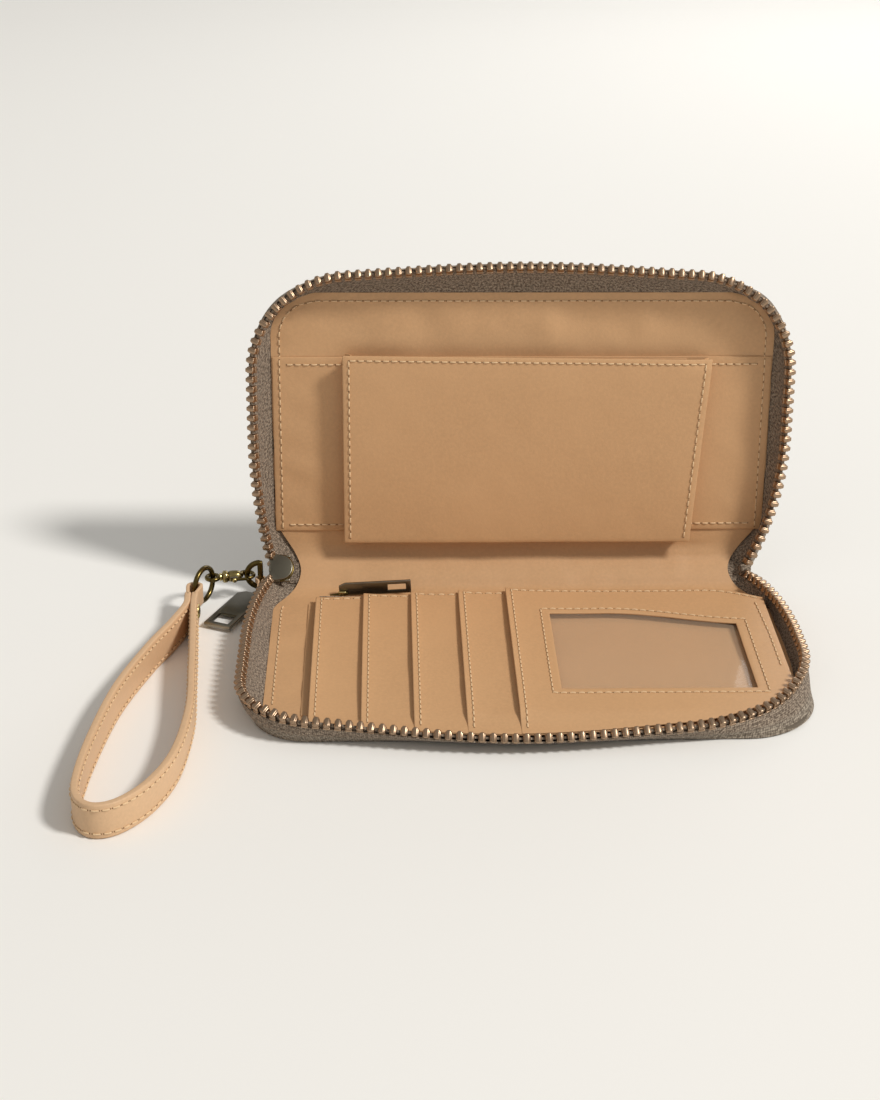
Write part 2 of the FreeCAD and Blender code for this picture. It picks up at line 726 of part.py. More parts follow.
# The strap's line on the table, from where its ends are riveted together, round the loop and back.
STRAP_NECK = Vector(-125.9, 33.0, 0.0)
STRAP_LINE = [
    (-127.3, 26.0), (-131.5, 12.0), (-138.0, -6.0), (-146.0, -35.0), (-150.5, -68.0), (-151.8, -92.0),
    (-150.2, -104.0), (-144.5, -109.5), (-136.5, -106.8), (-128.0, -95.5), (-121.8, -77.0), (-119.5, -49.0),
    (-121.0, -21.0), (-122.8, 5.0), (-124.4, 26.0),
]


def ring_front():
    """The point of the strap's ring that the strap is folded round."""
    return EYE - RING_REACH * (2 * SHEET.strap_ring_round)


def swept_band(path, low, wide, thick):
    """A band on edge along a path on the table."""
    begin = path.OrderedVertexes[0].Point
    edge = path.OrderedEdges[0]
    along = edge.tangentAt(edge.FirstParameter)
    aside = Vector(-along.y, along.x, 0).normalize() * (thick / 2)
    lift = Vector(0, 0, wide)
    foot = begin + Vector(0, 0, low)
    corners = [foot - aside, foot + aside, foot + aside + lift, foot - aside + lift, foot - aside]
    profile = Part.makePolygon(corners)
    return path.makePipeShell([profile], True, False)


def strap_and_rivet():
    """Leather strap: one long loop on edge, with a narrower end folded round the ring and riveted."""
    thick = SHEET.strap_thick
    half = thick / 2 + SHEET.neck_gap
    left_neck = STRAP_NECK + Vector(-half, 0, 0)
    right_neck = STRAP_NECK + Vector(half, 0, 0)
    line = [left_neck] + [Vector(x, y, 0) for x, y in STRAP_LINE] + [right_neck]
    band = swept_band(rounded_path(line, 4.0), SHEET.strap_low, SHEET.strap_wide, thick)
    fold = ring_front()
    bend = SHEET.strap_ring_wire + 0.9 + thick / 4
    centre = Vector(fold.x, fold.y, 0)
    points = [
        left_neck, centre + Vector(-bend, 0, 0), centre + Vector(0, bend, 0), centre + Vector(bend, 0, 0),
        right_neck,
    ]
    end_path = Part.Wire([
        Part.LineSegment(points[0], points[1]).toShape(), Part.Arc(*points[1:4]).toShape(),
        Part.LineSegment(points[3], points[4]).toShape(),
    ])
    end = swept_band(end_path, SHEET.strap_end_low, SHEET.strap_end_wide, thick / 2)
    head = SHEET.rivet_head_thick
    rivet_long = 2 * (thick + head + 2 * SHEET.neck_gap)
    level = SHEET.strap_low + SHEET.strap_wide / 2
    rivet_at = STRAP_NECK + Vector(-rivet_long / 2, -SHEET.rivet_back, level)
    across = Vector(1, 0, 0)
    hole = Part.makeCylinder(SHEET.rivet_hole, rivet_long, rivet_at, across)
    corner = STRAP_NECK + Vector(-half - thick / 2, -SHEET.neck_long, SHEET.strap_low)
    neck = Part.makeBox(2 * half + thick, SHEET.neck_long, SHEET.strap_wide, corner)
    strap = DOC.addObject("Part::Feature", "wrist_strap")
    strap.Shape = band.fuse([end, neck]).cut(hole).removeSplitter()
    keep(strap, "wrist_strap")
    heads = []
    for shift in (0.0, rivet_long - head):
        heads.append(Part.makeCylinder(SHEET.rivet_head_round, head, rivet_at + across * shift, across))
    core = Part.makeCylinder(SHEET.rivet_round, rivet_long, rivet_at, across)
    rivet = DOC.addObject("Part::Feature", "strap_rivet")
    rivet.Shape = core.fuse(heads).removeSplitter()
    keep(rivet, "strap_rivet")


def build():
    for name, side in (("lower", LOWER), ("upper", UPPER)):
        shell_half(name, side)
        zip_tape(name, side)
        zip_teeth(name, side)
    spine()
    zip_slider()
    card_side()
    coin_zip()
    phone_side()
    for make in (d_ring, d_ring_tab, snap_hook, hook_gate, swivel_eye, strap_ring, pull_link, zip_pull):
        make()
    strap_and_rivet()
    DOC.recompute()


def check_and_write():
    for item in DOC.Objects:
        if "Invalid" in item.State or "Error" in item.State:
            raise RuntimeError(f"{item.Name} failed: {item.State}")
    os.makedirs("parts", exist_ok=True)
    for piece in PARTS:
        if piece.Shape.isNull() or not piece.Shape.isValid() or piece.Shape.Volume <= 0:
            raise RuntimeError(f"{piece.Label} has no sound shape")
        piece.Shape.exportStep(f"parts/{piece.Label}.step")
        box = piece.Shape.BoundBox
        print(f"{piece.Label:22s} solids {len(piece.Shape.Solids):3d}  volume {piece.Shape.Volume:9.1f}  "
              f"X {box.XMin:7.1f} {box.XMax:7.1f}  Y {box.YMin:7.1f} {box.YMax:7.1f}  "
              f"Z {box.ZMin:6.1f} {box.ZMax:6.1f}")


build()
check_and_write()
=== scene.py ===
import json
import math

import bmesh
import bpy
from mathutils import Matrix, Vector, noise


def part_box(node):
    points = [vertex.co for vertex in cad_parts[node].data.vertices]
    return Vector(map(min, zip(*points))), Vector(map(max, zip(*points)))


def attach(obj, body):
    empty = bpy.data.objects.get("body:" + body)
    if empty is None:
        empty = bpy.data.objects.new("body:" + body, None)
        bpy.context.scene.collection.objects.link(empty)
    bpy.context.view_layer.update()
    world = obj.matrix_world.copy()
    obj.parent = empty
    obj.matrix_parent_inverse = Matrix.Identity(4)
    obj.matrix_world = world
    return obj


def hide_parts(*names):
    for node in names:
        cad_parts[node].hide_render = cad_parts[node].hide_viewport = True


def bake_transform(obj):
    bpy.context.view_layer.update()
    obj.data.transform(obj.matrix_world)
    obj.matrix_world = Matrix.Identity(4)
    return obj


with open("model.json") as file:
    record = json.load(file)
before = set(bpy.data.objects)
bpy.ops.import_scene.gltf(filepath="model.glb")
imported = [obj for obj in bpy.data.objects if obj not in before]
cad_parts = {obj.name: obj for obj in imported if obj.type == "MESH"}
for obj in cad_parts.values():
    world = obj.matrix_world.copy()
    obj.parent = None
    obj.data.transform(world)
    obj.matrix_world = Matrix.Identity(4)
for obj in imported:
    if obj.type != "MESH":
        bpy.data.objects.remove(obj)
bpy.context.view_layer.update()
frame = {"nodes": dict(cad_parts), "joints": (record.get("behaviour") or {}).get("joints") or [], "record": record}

MM = 0.001
JOINTS = {joint["name"]: joint for joint in frame["joints"]}


# ---------------------------------------------------------------- the frame's own sizes, in millimetres

def box_mm(node):
    low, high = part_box(node)
    return low / MM, high / MM


COVER_LOW, COVER_HIGH = box_mm("lower_cover")
LINING_LOW, LINING_HIGH = box_mm("lower_lining")
FOLD_1 = Vector(JOINTS["spine_fold"]["pos_m"]) / MM
FOLD_2 = Vector(JOINTS["upper_fold"]["pos_m"]) / MM
SPINE_WIDTH = (FOLD_2 - FOLD_1).length
FOLD_ANGLE = math.atan2(FOLD_2.z - FOLD_1.z, FOLD_2.y - FOLD_1.y)
HALF_WIDTH = COVER_HIGH.x
HALF_LENGTH = FOLD_1.y - COVER_LOW.y
LINING_HALF = LINING_HIGH.x
LINING_LENGTH = FOLD_1.y - LINING_LOW.y
MID_SPINE = SPINE_WIDTH / 2


def lower(u, w, n):
    """A place on the lower half: u across, w away from the fold, n above its outer face."""
    return Vector((u, FOLD_1.y - w, n))


def turned(origin, angle, u, w, n):
    c, s = math.cos(angle), math.sin(angle)
    return Vector((u, origin.y + w * c - n * s, origin.z + w * s + n * c))


def spine(u, w, n):
    return turned(FOLD_1, FOLD_ANGLE, u, w, n)


def upper(u, w, n):
    return turned(FOLD_2, 2 * FOLD_ANGLE, u, w, n)


UP = Vector((0, 0, 1))
SPINE_AXES = [spine(*step) - spine(0, 0, 0) for step in ((1, 0, 0), (0, 1, 0), (0, 0, 1))]


def smooth(x):
    x = max(0.0, min(1.0, x))
    return x * x * (3 - 2 * x)


def bump(x, centre, reach):
    """1 at the centre, falling smoothly to 0 at the reach."""
    return smooth(1 - abs(x - centre) / reach)


def ripple(a, b, size, seed=0.0):
    """Smooth seeded unevenness between about -1 and 1, with features of the given size."""
    return noise.noise(Vector((a / size, b / size, seed)))


# ---------------------------------------------------------------- materials

class Nodes:
    """A small helper that adds and links shader nodes."""

    def __init__(self, name):
        self.material = bpy.data.materials.new(name)
        self.material.use_nodes = True
        self.tree = self.material.node_tree
        self.shader = self.tree.nodes["Principled BSDF"]

    def join(self, socket, value):
        """Links the socket to another node's output, or sets it to a plain value."""
        if isinstance(value, bpy.types.NodeSocket):
            self.tree.links.new(value, socket)
        else:
            socket.default_value = value

    def add(self, kind, inputs=None, **settings):
        node = self.tree.nodes.new(kind)
        for key, value in settings.items():
            setattr(node, key, value)
        for key, value in (inputs or {}).items():
            self.join(node.inputs[key], value)
        return node

    def place(self, uv=False):
        if uv:
            return self.add("ShaderNodeUVMap", uv_map="flat").outputs["UV"]
        return self.add("ShaderNodeAttribute", attribute_name="rest").outputs["Vector"]

    def mix(self, factor, a, b):
        return self.add("ShaderNodeMix", {0: factor, 6: a, 7: b}, data_type="RGBA").outputs[2]

    def maths(self, operation, a, b=0.0):
        return self.add("ShaderNodeMath", {0: a, 1: b}, operation=operation).outputs[0]

    def noise(self, place, size, detail):
        inputs = {"Vector": place, "Scale": 1 / size, "Detail": detail}
        return self.add("ShaderNodeTexNoise", inputs).outputs["Fac"]

    def band(self, value, low, high):
        """Maps low..high to 0..1."""
        inputs = {"Value": value, "From Min": low, "From Max": high}
        return self.add("ShaderNodeMapRange", inputs).outputs["Result"]

    def spread(self, value, low, high):
        """Maps 0..1 to low..high."""
        inputs = {"Value": value, "To Min": low, "To Max": high}
        return self.add("ShaderNodeMapRange", inputs).outputs["Result"]

    def relief(self, height, distance, strength, under=None):
        inputs = {"Height": height, "Distance": distance, "Strength": strength}
        if under is not None:
            inputs["Normal"] = under
        return self.add("ShaderNodeBump", inputs).outputs["Normal"]

    def finish(self, color, normal, roughness, **others):
        inputs = {"Base Color": color, "Normal": normal, "Roughness": roughness}
        inputs.update((key.replace("_", " "), value) for key, value in others.items())
        for key, value in inputs.items():
            if value is not None:
                self.join(self.shader.inputs[key], value)
        return self.material


def rgb(red, green, blue):
    """A colour given as it looks on screen, 0 to 255."""
    def linear(value):
        value /= 255
        return value / 12.92 if value <= 0.04045 else ((value + 0.055) / 1.055) ** 2.4
    return (linear(red), linear(green), linear(blue), 1.0)


def shaded(color, factor):
    return tuple(min(1.0, c * factor) for c in color[:3]) + (1.0,)


PEBBLE = 0.0007          # the leather's grain, in metres like all the sizes in the materials


def leather(name, base):
    """Smooth split leather: faint clouding, fine pebble grain and small pores."""
    m = Nodes(name)
    place = m.place()
    color = m.mix(m.band(m.noise(place, 0.035, 3.0), 0.3, 0.75), shaded(base, 0.93), base)
    fine = m.noise(place, 0.0011, 4.0)
    color = m.mix(m.band(fine, 0.35, 0.8), color, shaded(base, 1.05))
    cells = m.add("ShaderNodeTexVoronoi", {"Vector": place, "Scale": 1 / PEBBLE}, feature="F1")
    pores = m.noise(place, PEBBLE * 0.6, 3.0)
    height = m.maths("ADD", m.maths("MULTIPLY", cells.outputs["Distance"], -0.6), pores)
    soft = m.relief(m.noise(place, 0.009, 3.0), 0.00022, 0.6)
    return m.finish(color, m.relief(height, 0.00005, 0.5, soft), m.spread(fine, 0.44, 0.58),
                    Specular_IOR_Level=0.36)


def woven(name, light, dark, pitch, depth):
    """Heathered plain weave from two crossed rows of threads."""
    m = Nodes(name)
    place = m.place(uv=True)
    split = m.add("ShaderNodeSeparateXYZ", {"Vector": place})
    wobble = m.maths("MULTIPLY", m.noise(place, pitch * 2.5, 1.0), 1.6)
    across = m.maths("SINE", m.maths("ADD", m.maths("MULTIPLY", split.outputs["X"], math.pi / pitch), wobble))
    along = m.maths("SINE", m.maths("ADD", m.maths("MULTIPLY", split.outputs["Y"], math.pi / pitch), wobble))
    over = m.maths("GREATER_THAN", m.maths("MULTIPLY", across, along), 0.0)
    thread = m.add("ShaderNodeMix", {0: over, 2: m.maths("ABSOLUTE", across), 3: m.maths("ABSOLUTE", along)},
                   data_type="FLOAT").outputs[0]
    heather = m.band(m.noise(place, pitch * 1.3, 2.0), 0.38, 0.62)
    color = m.mix(heather, dark, light)
    tone = m.noise(place, pitch * 12, 3.0)
    color = m.mix(m.maths("MULTIPLY", m.band(tone, 0.3, 0.9), 0.3), color, dark)
    # Darker where the thread profile is low, between the threads: painted shade in the grooves of the weave.
    color = m.mix(m.band(thread, -0.1, 0.7), shaded(dark, 0.45), color)
    return m.finish(color, m.relief(thread, depth, 0.9), 0.9, Specular_IOR_Level=0.2, Sheen_Weight=0.12)


def metal(name, base, worn_and_highlight, roughness, wear_and_highlight):
    """Plated metal, browned in its hollows and lighter on its edges: partly rubbed wear, partly painted highlight.
    """
    m = Nodes(name)
    place = m.place()
    blotch = m.noise(place, 0.0035, 4.0)
    edge = m.band(m.add("ShaderNodeNewGeometry").outputs["Pointiness"], 0.50, 0.56)
    mottled = m.mix(m.band(blotch, 0.35, 0.7), base, shaded(base, 0.6))
    # Edges take the lighter colour: rubbed wear and painted highlight.
    color = m.mix(m.maths("MULTIPLY", edge, wear_and_highlight), mottled, worn_and_highlight)
    normal = m.relief(m.noise(place, 0.0005, 2.0), 0.00001, 0.4)
    return m.finish(color, normal, m.spread(blotch, roughness - 0.07, roughness + 0.1), Metallic=1.0)


def thread_material(name, base, dark):
    m = Nodes(name)
    wave = m.add("ShaderNodeTexWave", {"Vector": m.place(), "Scale": 900.0, "Distortion": 3.0})
    twist = wave.outputs["Fac"]
    # Darker in the low grooves of the twist: painted shade.
    return m.finish(m.mix(twist, dark, base), m.relief(twist, 0.00006, 0.5), 0.7, Specular_IOR_Level=0.3)


def vinyl(name):
    m = Nodes(name)
    place = m.place()
    waves = m.relief(m.noise(place, 0.03, 1.0), 0.0004, 0.3)
    haze = m.spread(m.noise(place, 0.006, 3.0), 0.03, 0.07)
    return m.finish((0.72, 0.58, 0.43, 1.0), waves, haze, Alpha=0.14, IOR=1.45, Coat_Weight=0.35,
                    Coat_Roughness=0.04)


def stiffener(name):
    m = Nodes(name)
    speckle = m.noise(m.place(), 0.0012, 4.0)
    color = m.mix(m.band(speckle, 0.4, 0.7), rgb(96, 86, 74), rgb(120, 108, 92))
    return m.finish(color, m.relief(speckle, 0.00004, 0.5), 0.85)


def plain(name, color, roughness):
    return Nodes(name).finish(color, None, roughness)


TAN = leather("tan_leather", rgb(204, 161, 117))
STRAP_TAN = leather("strap_leather", rgb(214, 177, 138))
THREAD = thread_material("tan_thread", rgb(242, 214, 174), rgb(206, 170, 126))
# Dark discs of painted shade in the needle holes at the stitches' ends.
NEEDLE_HOLE_SHADE = plain("needle_hole_shade", rgb(134, 96, 62), 0.8)
TAPE = woven("zip_tape_weave", rgb(180, 162, 142), rgb(104, 90, 76), 0.0007, 0.00014)
CLOTH = woven("outer_tweed", rgb(178, 164, 146), rgb(112, 100, 86), 0.0009, 0.0002)
COPPER = metal("antique_copper_teeth", rgb(98, 76, 60), rgb(190, 162, 134), 0.34, 0.8)
BRASS = metal("antique_brass", rgb(112, 96, 54), rgb(222, 202, 138), 0.26, 0.85)
GUNMETAL = metal("gunmetal", rgb(84, 80, 66), rgb(166, 158, 142), 0.32, 0.75)
VINYL = vinyl("clear_vinyl")
BOARD = stiffener("grey_board")

# The thread shares the leather's slot. The leather comes after it, so the slot's own material is the leather.
SLOTS = {
    THREAD: "lining_leather", TAN: "lining_leather", STRAP_TAN: "strap_leather",
    TAPE: "zip_tape", CLOTH: "outer_cloth", COPPER: "zip_teeth", BRASS: "antique_brass", GUNMETAL: "gunmetal",
    VINYL: "clear_vinyl", BOARD: "stiffener",
}


# ---------------------------------------------------------------- building meshes

def remember_rest(mesh):
    """Keeps each point's place at rest, in metres, for the materials."""
    attribute = mesh.attributes.new("rest", "FLOAT_VECTOR", "POINT")
    values = [0.0] * (3 * len(mesh.vertices))
    mesh.vertices.foreach_get("co", values)
    attribute.data.foreach_set("vector", values)


def new_piece(name, points, faces, material, uvs=None):
    """An object from points in millimetres. uvs holds one (u, v) in millimetres for each point."""
    mesh = bpy.data.meshes.new(name)
    mesh.from_pydata([tuple(Vector(p) * MM) for p in points], [], faces)
    mesh.materials.append(material)
    if uvs:
        layer = mesh.uv_layers.new(name="flat")
        for loop in mesh.loops:
            u, v = uvs[loop.vertex_index]
            layer.data[loop.index].uv = (u * MM, v * MM)
    piece = bpy.data.objects.new(name, mesh)
    bpy.context.scene.collection.objects.link(piece)
    for polygon in mesh.polygons:
        polygon.use_smooth = True
    return piece


def with_modifiers(piece, *modifiers):
    """Adds the modifiers and applies them."""
    for kind, settings in modifiers:
        modifier = piece.modifiers.new(kind, kind)
        for key, value in settings.items():
            setattr(modifier, key, value)
    graph = bpy.context.evaluated_depsgraph_get()
    final = bpy.data.meshes.new_from_object(piece.evaluated_get(graph))
    piece.modifiers.clear()
    old = piece.data
    piece.data = final
    bpy.data.meshes.remove(old)


def settle(piece, body=None, blend=None, replaces=(), slot=None):
    """Last step for every piece: its rest places, body and the CAD nodes that it stands for. The slot argument is
    not used.
    """
    piece.data.set_sharp_from_angle(angle=math.radians(48))
    remember_rest(piece.data)
    if blend:
        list(blend)
        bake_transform(piece)
    else:
        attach(piece, body)
    if replaces:
        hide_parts(*replaces)
    slot or SLOTS[piece.data.materials[0]]


def solid_piece(name, shapes, material, body, replaces=()):
    """A piece merged from several shapes that rides one body."""
    settle(new_piece(name, *merged(shapes), material), body, replaces=replaces)


def steps_between(low, high, step, extra=()):
    count = max(1, round((high - low) / step))
    values = [low + (high - low) * i / count for i in range(count + 1)]
    for value in extra:
        nearest = min(range(len(values)), key=lambda i: abs(values[i] - value))
        values[nearest] = value
    return sorted(set(values))


def grid_piece(name, us, ws, place, material, hole=None, edge=None):
    """A sheet over a grid. edge(w) gives its left and right limits, and hole leaves out its faces."""
    points, uvs, faces = [], [], []
    for w in ws:
        left, right = edge(w) if edge else (us[0], us[-1])
        for u in us:
            share = (u - us[0]) / (us[-1] - us[0])
            x = left + (right - left) * share if edge else u
            points.append(place(x, w))
            uvs.append((x, w))
    wide = len(us)
    for j in range(len(ws) - 1):
        for i in range(wide - 1):
            if (hole and hole[0] <= us[i] and us[i + 1] <= hole[1]
                    and hole[2] <= ws[j] and ws[j + 1] <= hole[3]):
                continue
            a = j * wide + i
            faces.append((a, a + 1, a + wide + 1, a + wide))
    return new_piece(name, points, faces, material, uvs)


def sheet(name, us, ws, place, material, thick, replaces, body=None, blend=None, rim=0.3, turn=False,
          **limits):
    """A sheet over a grid, thickened below its face, with a softened rim. turn faces it the other way."""
    piece = grid_piece(name, us, ws, place, material, **limits)
    if turn:
        piece.data.flip_normals()
    steps = [("SOLIDIFY", {"thickness": thick * MM, "offset": -1.0})]
    if rim:
        steps.append(("BEVEL", {"width": rim * MM, "segments": 2, "limit_method": "ANGLE",
                                "angle_limit": math.radians(50)}))
    with_modifiers(piece, *steps)
    settle(piece, body, blend, replaces)


def catmull(points, per_span=8):
    """A smooth line through the points."""
    line = []
    for i, (p1, p2) in enumerate(zip(points, points[1:])):
        p0 = points[i - 1] if i > 0 else p1 * 2 - p2
        p3 = points[i + 2] if i + 2 < len(points) else p2 * 2 - p1
        for step in range(per_span):
            t = step / per_span
            line.append(0.5 * (2 * p1 + (p2 - p0) * t + (2 * p0 - 5 * p1 + 4 * p2 - p3) * t * t
                               + (3 * p1 - p0 - 3 * p2 + p3) * t ** 3))
    return line + [points[-1].copy()]


def lengths_along(line):
    """The distance along the line to each of its points."""
    lengths = [0.0]
    for a, b in zip(line, line[1:]):
        lengths.append(lengths[-1] + (b - a).length)
    return lengths


def stretch_at(lengths, distance):
    """Which stretch of a line holds a distance along it, and how far along the stretch it is."""
    k = max(0, min(len(lengths) - 2, sum(length <= distance for length in lengths) - 1))
    return k, (distance - lengths[k]) / max(1e-6, lengths[k + 1] - lengths[k])


def resample(line, spacing=None, count=None):
    """The same line at even steps."""
    lengths = lengths_along(line)
    count = count or max(2, round(lengths[-1] / spacing) + 1)
    result, k = [], 0
    for i in range(count):
        target = lengths[-1] * i / (count - 1)
        while k < len(line) - 2 and lengths[k + 1] < target:
            k += 1
        span = lengths[k + 1] - lengths[k] or 1.0
        result.append(line[k].lerp(line[k + 1], max(0.0, min(1.0, (target - lengths[k]) / span))))
    return result


def loft_faces(count, sides, closed=False):
    """Faces of a skin over rings of points. It closes on itself, or has a cap at each end."""
    faces = []
    for i in range(count if closed else count - 1):
        a, b = i * sides, ((i + 1) % count) * sides
        for k in range(sides):
            n = (k + 1) % sides
            faces.append((a + k, a + n, b + n, b + k))
    if not closed:
        faces += [tuple(range(sides))[::-1], tuple((count - 1) * sides + k for k in range(sides))]
    return faces


def tube_mesh(line, radius, sides=12, closed=False, up=UP):
    """Points and faces of a round wire along a line. The radius may be a function of the share of the way."""
    points = []
    count = len(line)
    for i, centre in enumerate(line):
        ahead = line[(i + 1) % count] if closed else line[min(i + 1, count - 1)]
        behind = line[i - 1] if closed or i else line[0]
        along = (ahead - behind).normalized()
        side = along.cross(up)
        if side.length < 0.05:
            side = along.cross(Vector((1, 0, 0)))
        side.normalize()
        other = side.cross(along)
        width = radius(i / max(1, count - 1)) if callable(radius) else radius
        for k in range(sides):
            angle = 2 * math.pi * k / sides
            points.append(centre + side * (width * math.cos(angle)) + other * (width * math.sin(angle)))
    return points, loft_faces(count, sides, closed)


def merged(parts):
    """One list of points and faces out of several."""
    points, faces = [], []
    for more, shapes in parts:
        shift = len(points)
        points.extend(more)
        faces.extend(tuple(shift + i for i in face) for face in shapes)
    return points, faces


def revolve(profile, origin, axis, sides=28):
    """A turned piece: profile is a list of (distance along the axis, radius)."""
    side = axis.orthogonal().normalized()
    other = axis.cross(side)
    points = []
    for along, radius in profile:
        for k in range(sides):
            angle = 2 * math.pi * k / sides
            points.append(origin + axis * along + (side * math.cos(angle) + other * math.sin(angle)) * radius)
    return points, loft_faces(len(profile), sides)


def read_out(shape):
    """Points and faces of a bmesh, which is then freed."""
    points = [v.co.copy() for v in shape.verts]
    faces = [tuple(v.index for v in f.verts) for f in shape.faces]
    shape.free()
    return points, faces


def rounded_block(sizes, bevel, segments=3):
    """Points and faces of a box about the origin with rounded edges."""
    shape = bmesh.new()
    bmesh.ops.create_cube(shape, size=1.0)
    bmesh.ops.scale(shape, vec=Vector(sizes), verts=shape.verts)
    bmesh.ops.bevel(shape, geom=shape.edges[:], offset=bevel, segments=segments, profile=0.5, affect="EDGES")
    return read_out(shape)


def plate(corners, rings, thick, bevel, sharp):
    """Points and faces of a flat plate about z = 0. Each ring is a face's corners, by their number.
    Edges that turn by more than sharp, in radians, are bevelled."""
    shape = bmesh.new()
    verts = [shape.verts.new((x, y, -thick / 2)) for x, y in corners]
    for ring in rings:
        shape.faces.new([verts[i] for i in ring])
    extruded = bmesh.ops.extrude_face_region(shape, geom=shape.faces[:])
    raised = [v for v in extruded["geom"] if isinstance(v, bmesh.types.BMVert)]
    bmesh.ops.translate(shape, vec=(0, 0, thick), verts=raised)
    bmesh.ops.recalc_face_normals(shape, faces=shape.faces)
    edges = [e for e in shape.edges if len(e.link_faces) == 2 and e.calc_face_angle(0) > sharp]
    bmesh.ops.bevel(shape, geom=edges, offset=bevel, segments=3, profile=0.5, affect="EDGES")
    return read_out(shape)


def arc(first, last, count):
    """Even angles from first to last, given in degrees."""
    return [math.radians(first + (last - first) * i / (count - 1)) for i in range(count)]


def moved(shape, matrix):
    points, faces = shape
    return [matrix @ p for p in points], faces


def frame_matrix(origin, x_axis, y_axis, z_axis):
    matrix = Matrix((x_axis, y_axis, z_axis)).transposed().to_4x4()
    matrix.translation = origin
    return matrix


STITCH_LONG, STITCH_PITCH, STITCH_ROUND = 2.15, 3.1, 0.31
# Radius of the dark discs of painted shade in the needle holes, and how far past a stitch's end they sit.
HOLE_SHADE_ROUND, HOLE_GAP = 0.32, 0.12


def stitch_round(t):
    """A stitch's radius, thinner at its ends."""
    return STITCH_ROUND * (0.72 + 0.28 * math.sin(math.pi * t))


def sewn(at, starts, lift, height, dip, shade_lift, up=None):
    """Shapes of stitches and of the dark discs of painted shade in the needle holes at their ends. at(distance)
    gives a place on the face and its normal. A stitch rises from lift by height, a share of its radius, and
    sinks at its ends by dip, a share of its rise."""
    shapes, hole_shades = [], []
    for start in starts:
        knots = []
        for share, rise in ((0.0, -dip), (0.16, 0.5), (0.5, 1.0), (0.84, 0.5), (1.0, -dip)):
            centre, normal = at(start + STITCH_LONG * share)
            knots.append(centre + normal * (lift + STITCH_ROUND * height * rise))
        shapes.append(tube_mesh(knots, stitch_round, 6, up=up or at(start)[1]))
        for end in (start - HOLE_GAP, start + STITCH_LONG + HOLE_GAP):
            # Each needle hole gets a dark disc of painted shade.
            hole_shades.append(disc(*at(end), HOLE_SHADE_ROUND, shade_lift))
    return shapes, hole_shades


def stitch_row(path, place, turn):
    """Stitches along a path of (u, w) corners on a face given by place(u, w)."""
    flat = resample([Vector((u, w, 0)) for u, w in path], spacing=0.5)
    line = [place(p.x, p.y) for p in flat]
    normals = []
    for p, here in zip(flat, line):
        du = place(p.x + 0.3, p.y) - here
        dw = place(p.x, p.y + 0.3) - here
        normals.append((dw.cross(du) if turn else du.cross(dw)).normalized())
    lengths = lengths_along(line)
    count = max(1, int(lengths[-1] / STITCH_PITCH))
    pitch = lengths[-1] / count

    def at(distance):
        k, share = stretch_at(lengths, max(0.0, min(lengths[-1], distance)))
        return line[k].lerp(line[k + 1], share), normals[k]

    starts = [number * pitch + (pitch - STITCH_LONG) / 2 for number in range(count)]
    return sewn(at, starts, 0.05, 0.55, 0.22, 0.07)


def disc(centre, normal, radius, lift):
    side = normal.orthogonal().normalized()
    other = normal.cross(side)
    sides = 7
    points = [centre + normal * lift + (side * math.cos(a) + other * math.sin(a)) * radius
              for a in [2 * math.pi * k / sides for k in range(sides)]]
    return points, [tuple(range(sides))]


def stitch_piece(name, seams, body=None, blend=None, slot=None):
    """One piece of all the stitches and the dark discs of painted shade in their needle holes. seams is a list of
    (shapes, hole_shades).
    """
    shapes = [shape for seam in seams for shape in seam[0]]
    hole_shades = [hole for seam in seams for hole in seam[1]]
    piece = new_piece(name, *merged(shapes + hole_shades), THREAD)
    piece.data.materials.append(NEEDLE_HOLE_SHADE)
    for polygon in list(piece.data.polygons)[-len(hole_shades):]:
        polygon.material_index = 1
    settle(piece, body, blend, slot=slot)


def stitches(name, rows, body=None, blend=None, turn=False):
    """All the stitches that go with one body or bend. rows is a list of (path, place)."""
    stitch_piece(name, [stitch_row(path, place, turn) for path, place in rows], body, blend)


# ---------------------------------------------------------------- where the case bends

# Each bend runs between a place this far from the fold on the half and one on the spine.
BEND_HALF, BEND_SPINE = 6.5, 7.0
LOWER_BEND = ("lower_half", "spine", tuple(lower(0, BEND_HALF, 2) * MM),
              tuple(spine(0, BEND_SPINE, 1.2) * MM))
UPPER_BEND = ("spine", "upper_half", tuple(spine(0, SPINE_WIDTH - BEND_SPINE, 1.2) * MM),
              tuple(upper(0, BEND_HALF, 2) * MM))


def case_line(level, pull_in):
    """The case's section at a level above the outer face, smooth round both folds, from the lower half's far
    edge to the upper half's."""
    across_half = (4, 9, 20, 40, 70, LINING_LENGTH)
    across_spine = (3.5, 7, 10, SPINE_WIDTH - 7, SPINE_WIDTH - 3.5)
    knots = [lower(0, w, level) for w in across_half[::-1]]
    knots += [spine(0, w, level * 0.8 + pull_in) for w in across_spine]
    knots += [upper(0, w, level) for w in across_half]
    return resample(catmull(knots, 10), spacing=1.0)


